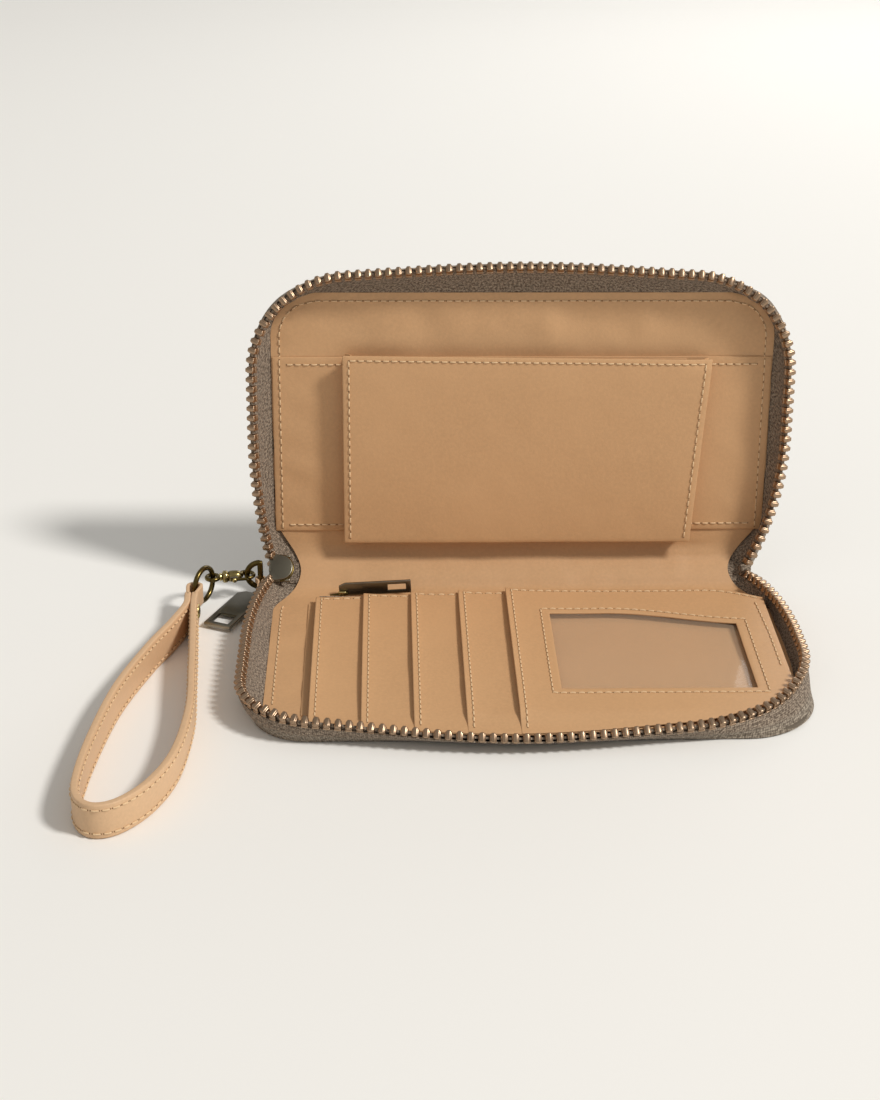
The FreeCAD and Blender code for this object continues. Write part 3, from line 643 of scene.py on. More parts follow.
class Section:
    """The case's section by signed distance from mid-spine: minus on the lower half, plus on the upper."""

    def __init__(self, level, pull_in=0.0):
        self.line = case_line(level, pull_in)
        middle = spine(0, MID_SPINE, level)
        self.centre = min(range(len(self.line)), key=lambda i: (self.line[i] - middle).length)
        self.lengths = lengths_along(self.line)

    def at(self, distance):
        """Place and inward normal."""
        target = self.lengths[self.centre] + distance
        k = 0
        while k < len(self.line) - 2 and self.lengths[k + 1] < target:
            k += 1
        share = (target - self.lengths[k]) / (self.lengths[k + 1] - self.lengths[k])
        here = self.line[k] + (self.line[k + 1] - self.line[k]) * share
        low, high = self.line[max(0, k - 1)], self.line[min(len(self.line) - 1, k + 2)]
        along = (high - low).normalized()
        return here, Vector((0, -along.z, along.y))

    @property
    def ends(self):
        return -self.lengths[self.centre], self.lengths[-1] - self.lengths[self.centre]


# ---------------------------------------------------------------- lining and outer cloth

# The case is drawn in at both ends of the spine: the lining's notch at the slider and at the right end.
PINCH_LEFT, PINCH_RIGHT, PINCH_REACH = 10.0, 13.5, 24.0
LINING_LEVEL = 3.0
INNER = Section(LINING_LEVEL, 0.2)


def rounded_limit(half, reach, radius, distance):
    """Half the width of a panel at a distance along it, with its far corners rounded."""
    over = distance - (reach - radius)
    if over <= 0:
        return half
    over = min(over, radius)
    return half - radius + math.sqrt(max(0.0, radius * radius - over * over))


LINING_ROUND = 17.0
# Creases beside the spine: distance from mid-spine and depth. They fade before the ends.
CREASES = ((4.5, 0.55), (9.5, 0.8), (-6.0, 0.35))
CREASE_END, CREASE_FADE = 82, 14
# The lower half's front right corner is drawn in by the zip, so its corner is rounder.
LINING_ROUND_DRAWN, CLOTH_ROUND_DRAWN = 42.0, 27.0


def lining_edge(distance):
    reach = abs(INNER.ends[0]) if distance < 0 else INNER.ends[1]
    notch = bump(distance, 0.0, PINCH_REACH)
    left = rounded_limit(LINING_HALF - 0.5, reach, LINING_ROUND, abs(distance)) - PINCH_LEFT * notch
    right_round = LINING_ROUND_DRAWN if distance < 0 else LINING_ROUND
    right = rounded_limit(LINING_HALF - 0.5, reach, right_round, abs(distance)) - PINCH_RIGHT * notch
    return -left, right


def lining_place(u, distance):
    here, normal = INNER.at(distance)
    folds = 0.35 * ripple(u, distance * 2.2, 26, 3.0) + 0.2 * ripple(u * 1.4, distance, 9, 7.0)
    crease = 0.0
    for centre, deep in CREASES:
        off = distance - centre - 1.6 * ripple(u, 0, 45, centre)
        crease -= deep * math.exp(-(off / 1.3) ** 2) * (0.45 + 0.55 * ripple(u, 2, 38, centre + 2))
        crease += 0.6 * deep * math.exp(-((off - 2.4) / 1.8) ** 2) * (0.6 + 0.4 * ripple(u, 5, 30, 1))
    crease *= smooth((CREASE_END - abs(u)) / CREASE_FADE)
    puckers = 0.0
    if distance > 20:
        near_edge = bump(distance, INNER.ends[1] - 4, 22)
        puckers = 0.5 * near_edge * ripple(u * 1.0, distance * 0.25, 7, 11.0)
        side = max(bump(u, -92, 16), bump(u, 92, 16))
        puckers += 0.4 * side * ripple(u * 0.3, distance, 8, 13.0)
        puckers += 1.3 * bump(distance, MID_SPINE + 90, 16) * ripple(u, distance * 0.12, 15, 17.0)
        corner = bump(abs(u), 84, 16) * bump(distance, MID_SPINE + 94, 16)
        puckers += 0.8 * corner * ripple(abs(u) - distance, (abs(u) + distance) * 0.2, 5, 19.0)
    return Vector((u, here.y, here.z)) + normal * (folds + crease + puckers)


def linings():
    us = steps_between(-LINING_HALF, LINING_HALF, 2.6)
    for name, limits, blend, nodes in (
            ("lining_lower", (INNER.ends[0], 0.0), LOWER_BEND, ("lower_lining",)),
            ("lining_upper", (0.0, INNER.ends[1]), UPPER_BEND, ("upper_lining", "spine_lining"))):
        sheet(name, us, steps_between(*limits, 1.6), lining_place, TAN, 0.7, nodes, blend=blend, rim=0,
              edge=lining_edge)
    inset, seam_round = 3.2, LINING_ROUND - 3.2
    half, top, front = LINING_HALF - 0.5 - inset, INNER.ends[1] - inset, -INNER.ends[0] - inset
    upper_path = [(-rounded_limit(half, top, seam_round, d), d) for d in steps_between(16.0, top, 1.5)]
    upper_path += [(-u, d) for u, d in upper_path[::-1]]
    lower_path = [(lining_edge(-d)[0] + inset, -d) for d in steps_between(20.0, front - seam_round, 3.0)]
    stitches("stitches_lining_upper", [(upper_path, lining_place)], blend=UPPER_BEND)
    stitches("stitches_lining_lower", [(lower_path, lining_place)], blend=LOWER_BEND)


CLOTH_LEVEL = 0.4
CLOTH_SECTION = Section(CLOTH_LEVEL)
CLOTH_ROUND = 20.0
CLOTH_HALF = HALF_WIDTH - 0.8
CLOTH_LENGTH = HALF_LENGTH - 2.2
CLOTH_PINCH, CLOTH_PINCH_REACH = 9.0, 22.0


def cloth_place(u, distance):
    """The outer cloth, flat over the board but for a little slack."""
    here, normal = CLOTH_SECTION.at(distance)
    slack = 0.06 * ripple(u, distance, 30, 21.0)
    return Vector((u, here.y, here.z)) + normal * max(slack, -0.05)


def cloth_edge(distance):
    pinch = CLOTH_PINCH * bump(distance, 0.0, CLOTH_PINCH_REACH)
    reach = CLOTH_LENGTH + MID_SPINE
    left = rounded_limit(CLOTH_HALF, reach, CLOTH_ROUND, abs(distance)) - pinch
    right_round = CLOTH_ROUND_DRAWN if distance < 0 else CLOTH_ROUND
    return -left, rounded_limit(CLOTH_HALF, reach, right_round, abs(distance)) - pinch


def cloth_rim(half, u, w):
    """The place on a half's cloth edge that is nearest to a place on its zip."""
    radius = CLOTH_ROUND_DRAWN if half == "lower" and u > 0 else CLOTH_ROUND
    side, far = CLOTH_HALF - radius, CLOTH_LENGTH - radius
    core = Vector((max(-side, min(side, u)), min(far, w)))
    edge = core + (Vector((u, w)) - core).normalized() * radius
    pinch = CLOTH_PINCH * bump(w + MID_SPINE, 0.0, CLOTH_PINCH_REACH)
    return edge.x - math.copysign(pinch, u) * smooth(abs(u) / 80.0), edge.y


def case_place(half, u, w, n):
    """A place on a half by its level over the outer face, following the case round its folds."""
    sign = -1 if half == "lower" else 1
    here, normal = CLOTH_SECTION.at(sign * (w + MID_SPINE))
    return Vector((u, here.y, here.z)) + normal * (n - CLOTH_LEVEL)


def outer_cloth():
    us = steps_between(-HALF_WIDTH, HALF_WIDTH, 2.0)
    reach = CLOTH_LENGTH + MID_SPINE
    fine = [reach - 4 + i * 0.5 for i in range(9)]
    coarse = steps_between(0.0, reach - 4.5, 2.0)
    for name, sign, blend, nodes in (
            ("outer_cloth_lower", -1, LOWER_BEND, ("lower_cover",)),
            ("outer_cloth_upper", 1, UPPER_BEND, ("upper_cover", "spine_cover"))):
        rows = sorted(sign * value for value in coarse + fine)
        sheet(name, us, rows, cloth_place, CLOTH, 0.7, nodes, blend=blend, rim=0.25, turn=True,
              edge=cloth_edge)


# ---------------------------------------------------------------- the zip round the case

ZIP_END = -5.6           # each half's zip reaches this far past the fold, beside the spine
ZIP_STEPS = 60           # points along each side, corner and half of the far edge
DRAWN_FROM = 50.0        # the teeth draw in towards the fold from here


class ZipLine:
    """A line round one half: up its left side, over its far edge and down its right side.

    reach says how far it goes to the left, to the right and from the fold, and rounds are its corner radii.
    drawn_in(side, w) moves it in beside the fold, and bulge is the far edge's rise, centre and half width."""

    def __init__(self, reach, rounds, drawn_in, bulge=(0.0, 0.0, 1.0)):
        left, right, self.far = reach
        self.sides = {-1: (left, rounds[0]), 1: (right, rounds[1])}
        self.drawn_in = drawn_in
        self.bulge = bulge

    def rise(self, u):
        height, centre, half_width = self.bulge
        return height * bump(u, centre, half_width)

    def far_at(self, u):
        """How far from the fold the line's far edge is."""
        size, radius = self.sides[-1 if u < 0 else 1]
        over = max(0.0, min(radius, abs(u) - (size - radius)))
        return self.far - radius + math.sqrt(radius * radius - over * over) + self.rise(u)

    def points(self):
        line = []
        for side, (size, radius) in self.sides.items():
            shares = [step / ZIP_STEPS for step in range(ZIP_STEPS)]
            turns = [math.pi / 2 * share for share in shares]
            places = [(size, ZIP_END + (self.far - radius - ZIP_END) * share) for share in shares]
            places += [(size - radius * (1 - math.cos(a)), self.far - radius * (1 - math.sin(a)))
                       for a in turns]
            places += [((size - radius) * (1 - share), self.far) for share in shares]
            places = [(side * (u - self.drawn_in(side, w)), w + self.rise(side * u)) for u, w in places]
            line += places if side < 0 else places[::-1]
        return line


def fold_share(w):
    """0 where the zip lies freely, 1 at its end beside the spine."""
    return max(0.0, (DRAWN_FROM - w) / (DRAWN_FROM - ZIP_END))


def teeth_drawn_in(left, right):
    return lambda side, w: (left if side < 0 else right) * fold_share(w) ** 2


def seam_drawn_in(side, w):
    """The seam follows the lining's notch."""
    return (PINCH_LEFT if side < 0 else PINCH_RIGHT) * bump(w + MID_SPINE, 0.0, PINCH_REACH)


# The teeth stand out past the cover, further at the left than at the drawn-in right front corner.
TEETH_LINES = {
    "lower": ZipLine((HALF_WIDTH + 3.6, HALF_WIDTH - 1.4, HALF_LENGTH + 1.0), (26.0, 48.0),
                     teeth_drawn_in(7.8, 10.2), (7.0, -8.0, 80.0)),
    "upper": ZipLine((HALF_WIDTH + 2.7, HALF_WIDTH + 1.0, HALF_LENGTH + 3.0), (36.0, 36.0),
                     teeth_drawn_in(7.0, 12.6), (4.3, 0.0, 100.0)),
}
TEETH_LEVEL = {"lower": 10.5, "upper": 11.0}
TEETH_SAG = {"lower": 4.3, "upper": 0.2}
# The tape is sewn between cloth and lining along a line just inside the lining's edge.
SEAM_INSET = 1.3
SEAM_LINES = {
    half: ZipLine((LINING_HALF - SEAM_INSET, LINING_HALF - SEAM_INSET, LINING_LENGTH - SEAM_INSET),
                  (LINING_ROUND, right_round), seam_drawn_in)
    for half, right_round in (("lower", LINING_ROUND_DRAWN), ("upper", LINING_ROUND))
}


def teeth_level(half, u, w):
    """The height of the teeth over the outer face: lower beside the fold, and sagging along the far edge."""
    sag = max(0.0, 1 - ((u - 6) / 100) ** 2) * smooth((w - 80) / 18)
    return TEETH_LEVEL[half] - 3.0 * fold_share(w) ** 5 - TEETH_SAG[half] * sag


def seam_level(w):
    return 1.8 - 0.5 * smooth((8 - w) / 12)


TOOTH_PITCH = 3.7
LIFTS = {"lower": lower(0, 0, 1) - lower(0, 0, 0), "upper": upper(0, 0, 1) - upper(0, 0, 0)}


def strip_piece(name, rows, material, bend, nodes=(), thick=0.75):
    """A long strip: rows holds, for each step along it, the points across it."""
    points, uvs, faces = [], [], []
    wide = len(rows[0])
    run = 0.0
    for i, row in enumerate(rows):
        run += (row[0] - rows[i - 1][0]).length if i else 0.0
        across = 0.0
        for k, point in enumerate(row):
            across += (point - row[k - 1]).length if k else 0.0
            points.append(point)
            uvs.append((run, across))
    for i in range(len(rows) - 1):
        for k in range(wide - 1):
            a = i * wide + k
            faces.append((a, a + 1, a + wide + 1, a + wide))
    piece = new_piece(name, points, faces, material, uvs)
    with_modifiers(piece, ("SOLIDIFY", {"thickness": thick * MM, "offset": 0.0}))
    settle(piece, blend=bend, replaces=nodes)


TAPE_SHARES = (0.0, 0.12, 0.3, 0.5, 0.7, 0.86, 0.95, 1.0)
TAPE_UNDER = 3.6
# The zip's outer side, as shares of the way from its teeth down to the edge of the outer cloth.
RIM_TAPE = (0.0, 0.12, 0.25, 0.4, 0.55)
RIM_CLOTH = (0.48, 0.62, 0.78, 0.9, 1.0)


def tape(half, tops, feet, teeth, seam, bend):
    """The woven tape as a draped strip from under the lining, over its seam, up to the teeth."""
    rows = []
    for i, (top, foot) in enumerate(zip(tops, feet)):
        along = (tops[min(i + 1, len(tops) - 1)] - tops[max(i - 1, 0)]).normalized()
        out = (top - foot).cross(along).normalized()
        if out.dot(LIFTS[half]) > 0:
            out = -out
        under = seam[i] + (seam[i] - teeth[i]).xy.to_3d().normalized() * TAPE_UNDER
        row = [case_place(half, under.x, under.y, under.z - 0.2)]
        for share in TAPE_SHARES:
            belly = 1.1 * math.sin(math.pi * share) * (1 + 0.5 * ripple(i * 1.2, share * 8, 22, 5.0))
            row.append(foot.lerp(top, share) + out * belly)
        rows.append(row)
    strip_piece(f"{half}_tape", rows, TAPE, bend, (f"{half}_zip_tape",))


def zip_rim(half, place, teeth, bend):
    """The zip's outer side: tape below the teeth and then the outer cloth, down to the cloth's edge."""
    for name, shares, material in (("rim_cloth", RIM_CLOTH, CLOTH), ("rim_tape", RIM_TAPE, TAPE)):
        rows = []
        for tooth in teeth:
            edge = Vector(cloth_rim(half, tooth.x, tooth.y))
            outward = (tooth.xy - Vector((0, 50))).normalized()
            row = []
            for share in shares:
                bulge = (0.7 + 0.9 * math.sin(math.pi * share)) * (1 - share)
                flat = tooth.xy.lerp(edge, share) + outward * bulge
                flat.y -= 2.6 * share * smooth((7.0 - flat.y) / 9.0)
                height = CLOTH_LEVEL + (0.80 * tooth.z - CLOTH_LEVEL) * (1 - share) ** 0.9
                row.append(place(*flat, height).lerp(case_place(half, *flat, height), smooth(share * 1.6)))
            rows.append(row)
        strip_piece(f"{half}_{name}", rows, material, bend, thick=0.6)


def zip_teeth(half, tops, feet, bend):
    """One clamped tooth per pitch: its body, a wider head and a waist."""
    tooth = merged([moved(rounded_block(size, bevel, segments), Matrix.Translation((0, 0, height)))
                    for size, bevel, segments, height in (
                        ((2.5, 2.9, 2.7), 0.55, 3, 0.0), ((1.7, 3.5, 1.3), 0.5, 3, 1.15),
                        ((2.5, 3.3, 0.9), 0.3, 2, -0.95))])
    number = int(lengths_along(tops)[-1] / TOOTH_PITCH)
    spots = resample(tops, count=number)
    shapes = []
    for i, (spot, foot) in enumerate(zip(spots, resample(feet, count=number))):
        along = (spots[min(i + 1, number - 1)] - spots[max(i - 1, 0)]).normalized()
        rise = spot - foot + LIFTS[half] * 5.0
        rise = (rise - along * rise.dot(along)).normalized()
        across = rise.cross(along)
        rise = (rise + along * (0.05 * ripple(i * 3.1, 0, 2.0, 9.0))).normalized()
        along = across.cross(rise).normalized()
        shapes.append(moved(tooth, frame_matrix(spot - rise * 0.3, along, across, rise)))
    points, faces = merged(shapes)
    settle(new_piece(f"{half}_teeth", points, faces, COPPER), blend=bend, replaces=(f"{half}_zip_teeth",))


def case_zip(half, place, bend):
    """One half's zip. teeth and seam are its lines flat, as (u, w, level), and tops and feet are in place."""
    teeth = [Vector((u, w, teeth_level(half, u, w))) for u, w in TEETH_LINES[half].points()]
    seam = [Vector((u, w, seam_level(w))) for u, w in SEAM_LINES[half].points()]
    tops = [place(*p) for p in teeth]
    feet = [case_place(half, *p) for p in seam]
    tape(half, tops, feet, teeth, seam, bend)
    zip_rim(half, place, teeth, bend)
    zip_teeth(half, tops, feet, bend)


def spine_block(size, u, w, n, bevel=0.4):
    """A rounded block square to the spine, w from its middle."""
    return moved(rounded_block(size, bevel), frame_matrix(spine(u, MID_SPINE + w, n), *SPINE_AXES))


def zip_ends():
    """The four tape ends, tucked under the lining beside the spine, and the stop."""
    tail = (11.0, 9.0, 1.1)
    for side, blocks in (("left", [spine_block(tail, -85.5, 0, 1.4)]),
                         ("right", [spine_block(tail, 85.5, 0, 1.4),
                                    spine_block((4.5, 3.2, 4.4), 88.6, 0, 3.6, 1.0)])):
        points, faces = merged(blocks)
        piece = new_piece(f"tape_ends_{side}", points, faces, TAPE, [(p.x, p.y + p.z) for p in points])
        settle(piece, "spine", replaces=(f"zip_tail_{side}",))
    solid_piece("bottom_stop_metal", [spine_block((1.8, 4.0, 1.2), -84.5, 0, 1.6)], COPPER, "spine",
                ("zip_bottom_stop",))


# ---------------------------------------------------------------- card side

SLOT_FIRST, SLOT_STEP = -79.2, 18.2
WINDOW_LEFT, WINDOW_RIGHT, WINDOW_NEAR, WINDOW_FAR = 9.2, 78.4, 28.8, 85.5
STITCHES_IN = 2.2        # from a card layer's left edge to its row of stitches


def panel_near(u):
    """The card panel's edge beside the spine, which sags towards the right end."""
    return 8.6 + 1.6 * smooth((-60 - u) / 25) + 0.5 * math.sin(u / 30) + 9.0 * smooth((u - 68) / 30) ** 1.5


def panel_far(u):
    """The card layers reach almost to the teeth along the front edge."""
    return TEETH_LINES["lower"].far_at(u) - 3.4


def layered_place(level, left, curl, seed, belly=0.35):
    """A card layer: flat but slightly uneven, its left edge lifted by the layers of card beneath."""

    def place(u, v):
        near, far = panel_near(u), panel_far(u)
        w = near + (far - near) * v
        middle = math.sin(math.pi * min(1.0, max(0.0, v))) ** 0.5
        lift = curl * math.exp(-(u - left) / 4.5) * (0.35 + 0.65 * middle)
        wave = belly * ripple(u, w, 24, seed) + 0.12 * ripple(u, w, 7, seed + 4)
        to_teeth = smooth((w - 100.0) / 11.0)
        height = level + lift * (1 - to_teeth) + wave * 0.5
        return lower(u, w, height + (5.1 + 0.16 * level - height) * to_teeth)
    return place


def card_layers():
    rows = steps_between(0.0, 1.0, 0.016)
    sheet("card_panel_leather", steps_between(-75.0, 93.0, 2.4), rows, layered_place(4.5, -200, 0.0, 1.0),
          TAN, 0.55, ("card_panel",), "lower_half", turn=True)
    rows_of_stitches = []
    for number in range(4):
        left = SLOT_FIRST + number * SLOT_STEP
        place = layered_place(5.2 + 0.65 * number, left, 1.5, 10.0 + number)
        us = [left, left + 0.6, left + 1.4] + steps_between(left + 2.6, left + SLOT_STEP + 9, 1.8)
        sheet(f"card_pocket_leather_{number + 1}", us, rows, place, TAN, 0.55, (f"card_pocket_{number + 1}",),
              "lower_half", turn=True)
        seam = left + STITCHES_IN
        rows_of_stitches.append(([(seam, 0.01), (seam, 0.97)], place))
        rows_of_stitches.append(([(seam, 0.022), (left + SLOT_STEP - 0.6, 0.022)], place))
    stitches("stitches_card_pockets", uv_scaled(rows_of_stitches), "lower_half", turn=True)


def uv_scaled(rows):
    """Stitch paths on card layers run in (u, 0..1); this stretches the second to millimetres."""
    span = 95.0
    return [([(u, v * span) for u, v in path], lambda u, w, inner=place: inner(u, w / span))
            for path, place in rows]


def id_pocket():
    left = SLOT_FIRST + 4 * SLOT_STEP
    place = layered_place(8.1, left, 1.6, 31.0, 0.5)
    us = [left, left + 0.6, left + 1.4]
    us += steps_between(left + 2.6, 92.0, 1.7, extra=(WINDOW_LEFT, WINDOW_RIGHT))

    def window_rows(u):
        """Where the window begins and ends on the way from the spine to the teeth."""
        return WINDOW_NEAR + 9.0 * smooth((u - 30) / 56), min(WINDOW_FAR, panel_far(u) - 4.0)

    def grid_place(u, row):
        near, far = panel_near(u), panel_far(u)
        top, bottom = window_rows(u)
        if row <= 1.0:
            w = near + (top - near) * row
        elif row <= 2.0:
            w = top + (bottom - top) * (row - 1.0)
        else:
            w = bottom + (far - bottom) * (row - 2.0)
        return place(u, (w - near) / (far - near))

    rows = steps_between(0.0, 1.0, 0.09) + steps_between(1.03, 2.0, 0.03) + steps_between(2.06, 3.0, 0.08)
    rows = sorted(set(round(r, 4) for r in rows + [1.0, 2.0]))
    sheet("id_panel_leather", us, rows, grid_place, TAN, 0.6, ("id_panel",), "lower_half", turn=True,
          hole=(WINDOW_LEFT, WINDOW_RIGHT, 1.0, 2.0))

    def sheet_place(level, seed, drop):
        def inner(u, w):
            wave = 0.3 * ripple(u, w, 26, seed) - drop * smooth((u - 62 + 0.10 * (w - 60)) / 22) ** 1.8
            return lower(u, w, level + wave)
        return inner

    sheet("window_vinyl", steps_between(WINDOW_LEFT - 4, WINDOW_RIGHT + 4, 2.0),
          steps_between(WINDOW_NEAR - 4, WINDOW_FAR + 4, 2.0), sheet_place(7.6, 41.0, 1.6), VINYL, 0.2,
          ("id_window",), "lower_half", rim=0, turn=True)
    sheet("id_backing_leather", steps_between(2.0, 90.0, 2.4),
          steps_between(WINDOW_NEAR - 10, WINDOW_FAR + 9, 2.4), sheet_place(5.3, 43.0, 0.0), TAN, 0.4,
          ("id_backing",), "lower_half", turn=True)

    def flat_place(u, w):
        near, far = panel_near(u), panel_far(u)
        return place(u, (w - near) / (far - near))
    gap = 3.2
    across = steps_between(WINDOW_LEFT - gap, WINDOW_RIGHT + gap + 0.6, 6)
    frame_path = [(u, window_rows(u)[0] - gap) for u in across]
    frame_path += [(u, window_rows(u)[1] + gap) for u in across[::-1]] + [frame_path[0]]
    seam = left + STITCHES_IN
    paths = [
        frame_path,
        [(seam, panel_near(seam) + 1.2), (seam, panel_far(seam) - 3)],
        [(u, panel_near(u) + 2.0) for u in steps_between(seam, 90.0, 4)],
        [(88.3, panel_near(88.3) + 6.0), (89.4, 46.0), (89.4, 70.0)],
    ]
    stitches("stitches_id_panel", [(path, flat_place) for path in paths], "lower_half", turn=True)


COIN_TOOTH_PITCH = 1.6
PULL_TILT = math.radians(3)


def coin_zip():
    low, high = box_mm("coin_zip_tape")
    top = high.y
    sheet("coin_tape", steps_between(low.x, high.x, 3.0), steps_between(low.z, low.z + 1.5, 0.5),
          lambda x, z: Vector((x, top, z)), TAPE, 0.5, ("coin_zip_tape",), "lower_half", rim=0)
    bead = rounded_block((0.9, 0.6, 0.8), 0.2, 2)
    beads = [moved(bead, Matrix.Translation((low.x + 4 + COIN_TOOTH_PITCH * i, top + 0.2, low.z + 0.8)))
             for i in range(int((high.x - low.x - 8) / COIN_TOOTH_PITCH))]
    solid_piece("coin_teeth", beads, COPPER, "lower_half", ("coin_zip_teeth",))

    low, high = box_mm("coin_slider")
    centre, long = (low + high) / 2, (high - low).x
    nose = [centre + Vector(step) for step in ((-long / 2, 0, -0.9), (0, 0.1, -0.5), (long / 2, 0.2, -0.2))]
    body = moved(rounded_block((long * 0.45, 1.1, 1.9), 0.4),
                 Matrix.Translation(centre + Vector((1.3, 0.1, -0.3))))
    solid_piece("coin_slider_metal", [tube_mesh(catmull(nose, 6), lambda t: 0.25 + 0.55 * t, 10), body],
                BRASS, "coin_slider", ("coin_slider",))

    low, high = box_mm("coin_pull")
    across, rise = math.cos(PULL_TILT), math.sin(PULL_TILT)
    root = Vector((low.x, (low.y + high.y) / 2, (low.z + high.z) / 2))
    matrix = frame_matrix(root, Vector((across, 0, rise)), Vector((-rise, 0, across)), Vector((0, -1, 0)))
    pull = window_plate(high.x - low.x, high.z - low.z, 1.0, (7.0, 2.6), 2.0, 0.6)
    solid_piece("coin_pull_metal", [moved(pull, matrix)], GUNMETAL, "coin_pull", ("coin_pull",))


def window_plate(long, wide, thick, hole, hole_gap, root):
    """A pull plate along its own x, narrowed to the share root of its width at its start, with a rectangular
    window near its free end."""
    x0, x1 = long - hole_gap - hole[0], long - hole_gap
    y, z = wide / 2, hole[1] / 2
    corners = [(0.0, -y * root), (2.4, -y), (long, -y), (long, y), (2.4, y), (0.0, y * root),
               (x0, -z), (x1, -z), (x1, z), (x0, z)]
    rings = ((1, 2, 7, 6), (2, 3, 8, 7), (3, 4, 9, 8), (4, 5, 0, 1, 6, 9))
    return plate(corners, rings, thick, min(0.28, thick * 0.25), 0.6)


# ---------------------------------------------------------------- phone side

POCKET_LEFT, POCKET_RIGHT, POCKET_NEAR, POCKET_FAR = -68.4, 71.6, 6.6, 79.6
POCKET_TAPER = 5.6
POCKET_SLOPE = 1.8
POCKET_LEVEL = 10.6
GUSSET_FOOT = 4.0


def pocket_lean(across, up):
    """How far the pocket leans in at the right towards its bottom, and stands higher at its top left."""
    return -POCKET_TAPER * (1 - up) * smooth((across - 0.3) / 0.7), POCKET_SLOPE * up * (1 - across)


def pocket_place(u, w):
    """The phone pocket's front: crowned, its right edge leaning in towards the bottom."""
    across = (u - POCKET_LEFT) / (POCKET_RIGHT - POCKET_LEFT)
    up = (w - POCKET_NEAR) / (POCKET_FAR - POCKET_NEAR)
    lean_u, lean_w = pocket_lean(across, up)
    crown = 0.6
    for share in (across, up):
        crown *= math.sin(math.pi * min(1, max(0, share))) ** 0.6
    crown += 0.45 * smooth((up - 0.6) / 0.4)
    soft = 0.30 * ripple(u, w, 30, 51.0) + 0.10 * ripple(u, w, 9, 52.0)
    top_curl = -0.8 * smooth((up - 0.93) / 0.07) * smooth((across - 0.9) / 0.1)
    return upper(u + lean_u, w + lean_w, POCKET_LEVEL - 0.9 + crown + soft + top_curl)


def strip_place(u, w):
    level = 3.65 + 0.3 * ripple(u, w, 20, 61.0) + 0.3 * bump(w, 78, 12) * ripple(u * 1.6, 0, 12, 62.0)
    sides = max(bump(u, -86, 14), bump(u, 86, 14))
    level += 0.5 * sides * ripple(u * 0.5 + w * 0.7, w * 0.6, 9, 63.0)
    return upper(u, w, level)


def phone_side():
    sheet("strip_pocket_leather", steps_between(-95.2, 95.2, 2.4), steps_between(9.6, 79.4, 1.8), strip_place,
          TAN, 0.6, ("strip_pocket",), "upper_half")
    paths = [[(-90.0, 76.4), (90.0, 76.4)], [(-90.0, 12.2), (90.0, 12.2)],
             [(-92.4, 78.6), (-92.4, 10.4)], [(92.4, 10.4), (92.4, 78.6)]]
    stitches("stitches_strip_pocket", [(path, strip_place) for path in paths], "upper_half")
    sheet("phone_pocket_leather", steps_between(POCKET_LEFT, POCKET_RIGHT, 1.9),
          steps_between(POCKET_NEAR, POCKET_FAR, 1.6), pocket_place, TAN, 0.7, ("phone_pocket_front",),
          "phone_pocket_front")
    left, right = POCKET_LEFT + 2.4, POCKET_RIGHT - 2.4
    near, far, hem = POCKET_NEAR + 1.5, POCKET_FAR - 1.5, POCKET_FAR - 1.8
    paths = [[(left, far), (left, near)], [(left, hem), (right, hem)], [(right, far), (right, near)]]
    stitches("stitches_phone_pocket", [(path, pocket_place) for path in paths], "phone_pocket_front")
    sheet("phone_pocket_back_leather", steps_between(POCKET_LEFT + 2, POCKET_RIGHT - 9, 4.0),
          steps_between(POCKET_NEAR + 2, POCKET_FAR - 1, 4.0), lambda u, w: upper(u, w, GUSSET_FOOT), TAN,
          0.4, ("phone_pocket_back",), "upper_half")
    gussets()


def gussets():
    """Folded leather sides of the phone pocket: in at the middle of their depth, like a bellows."""
    bend = ("upper_half", "phone_pocket_front", tuple(upper(0, 40, 4.4) * MM), tuple(upper(0, 40, 9.6) * MM))
    depths = steps_between(0.0, 1.0, 0.12)

    def level(depth):
        return GUSSET_FOOT + (POCKET_LEVEL - 1.5 - GUSSET_FOOT) * depth

    for name, edge, sign in (("left", POCKET_LEFT, 1), ("right", POCKET_RIGHT, -1)):

        def place(depth, w, edge=edge, sign=sign):
            up = (w - POCKET_NEAR) / (POCKET_FAR - POCKET_NEAR)
            lean_u, lean_w = pocket_lean(0.0 if sign > 0 else 1.0, up)
            u = edge + lean_u + sign * (0.9 + 2.0 * math.sin(math.pi * depth))
            return upper(u, w + lean_w, level(depth))
        sheet(f"phone_gusset_leather_{name}", depths, steps_between(POCKET_NEAR + 0.8, POCKET_FAR - 0.6, 2.4),
              place, TAN, 0.6, (f"phone_gusset_{name}",), blend=bend, rim=0.2)

    def floor_place(u, depth):
        return upper(u, POCKET_NEAR + 0.5 + 1.2 * math.sin(math.pi * depth), level(depth))
    across = steps_between(POCKET_LEFT + 0.9, POCKET_RIGHT - POCKET_TAPER - 0.9, 4.0)
    sheet("phone_gusset_leather_bottom", across, depths, floor_place, TAN, 0.6, ("phone_gusset_bottom",),
          blend=bend, rim=0.2)


# ---------------------------------------------------------------- hardware at the left end

def ring_line(centre, x_axis, y_axis, radius, count):
    return [centre + x_axis * (radius * math.cos(2 * math.pi * i / count))
            + y_axis * (radius * math.sin(2 * math.pi * i / count)) for i in range(count)]


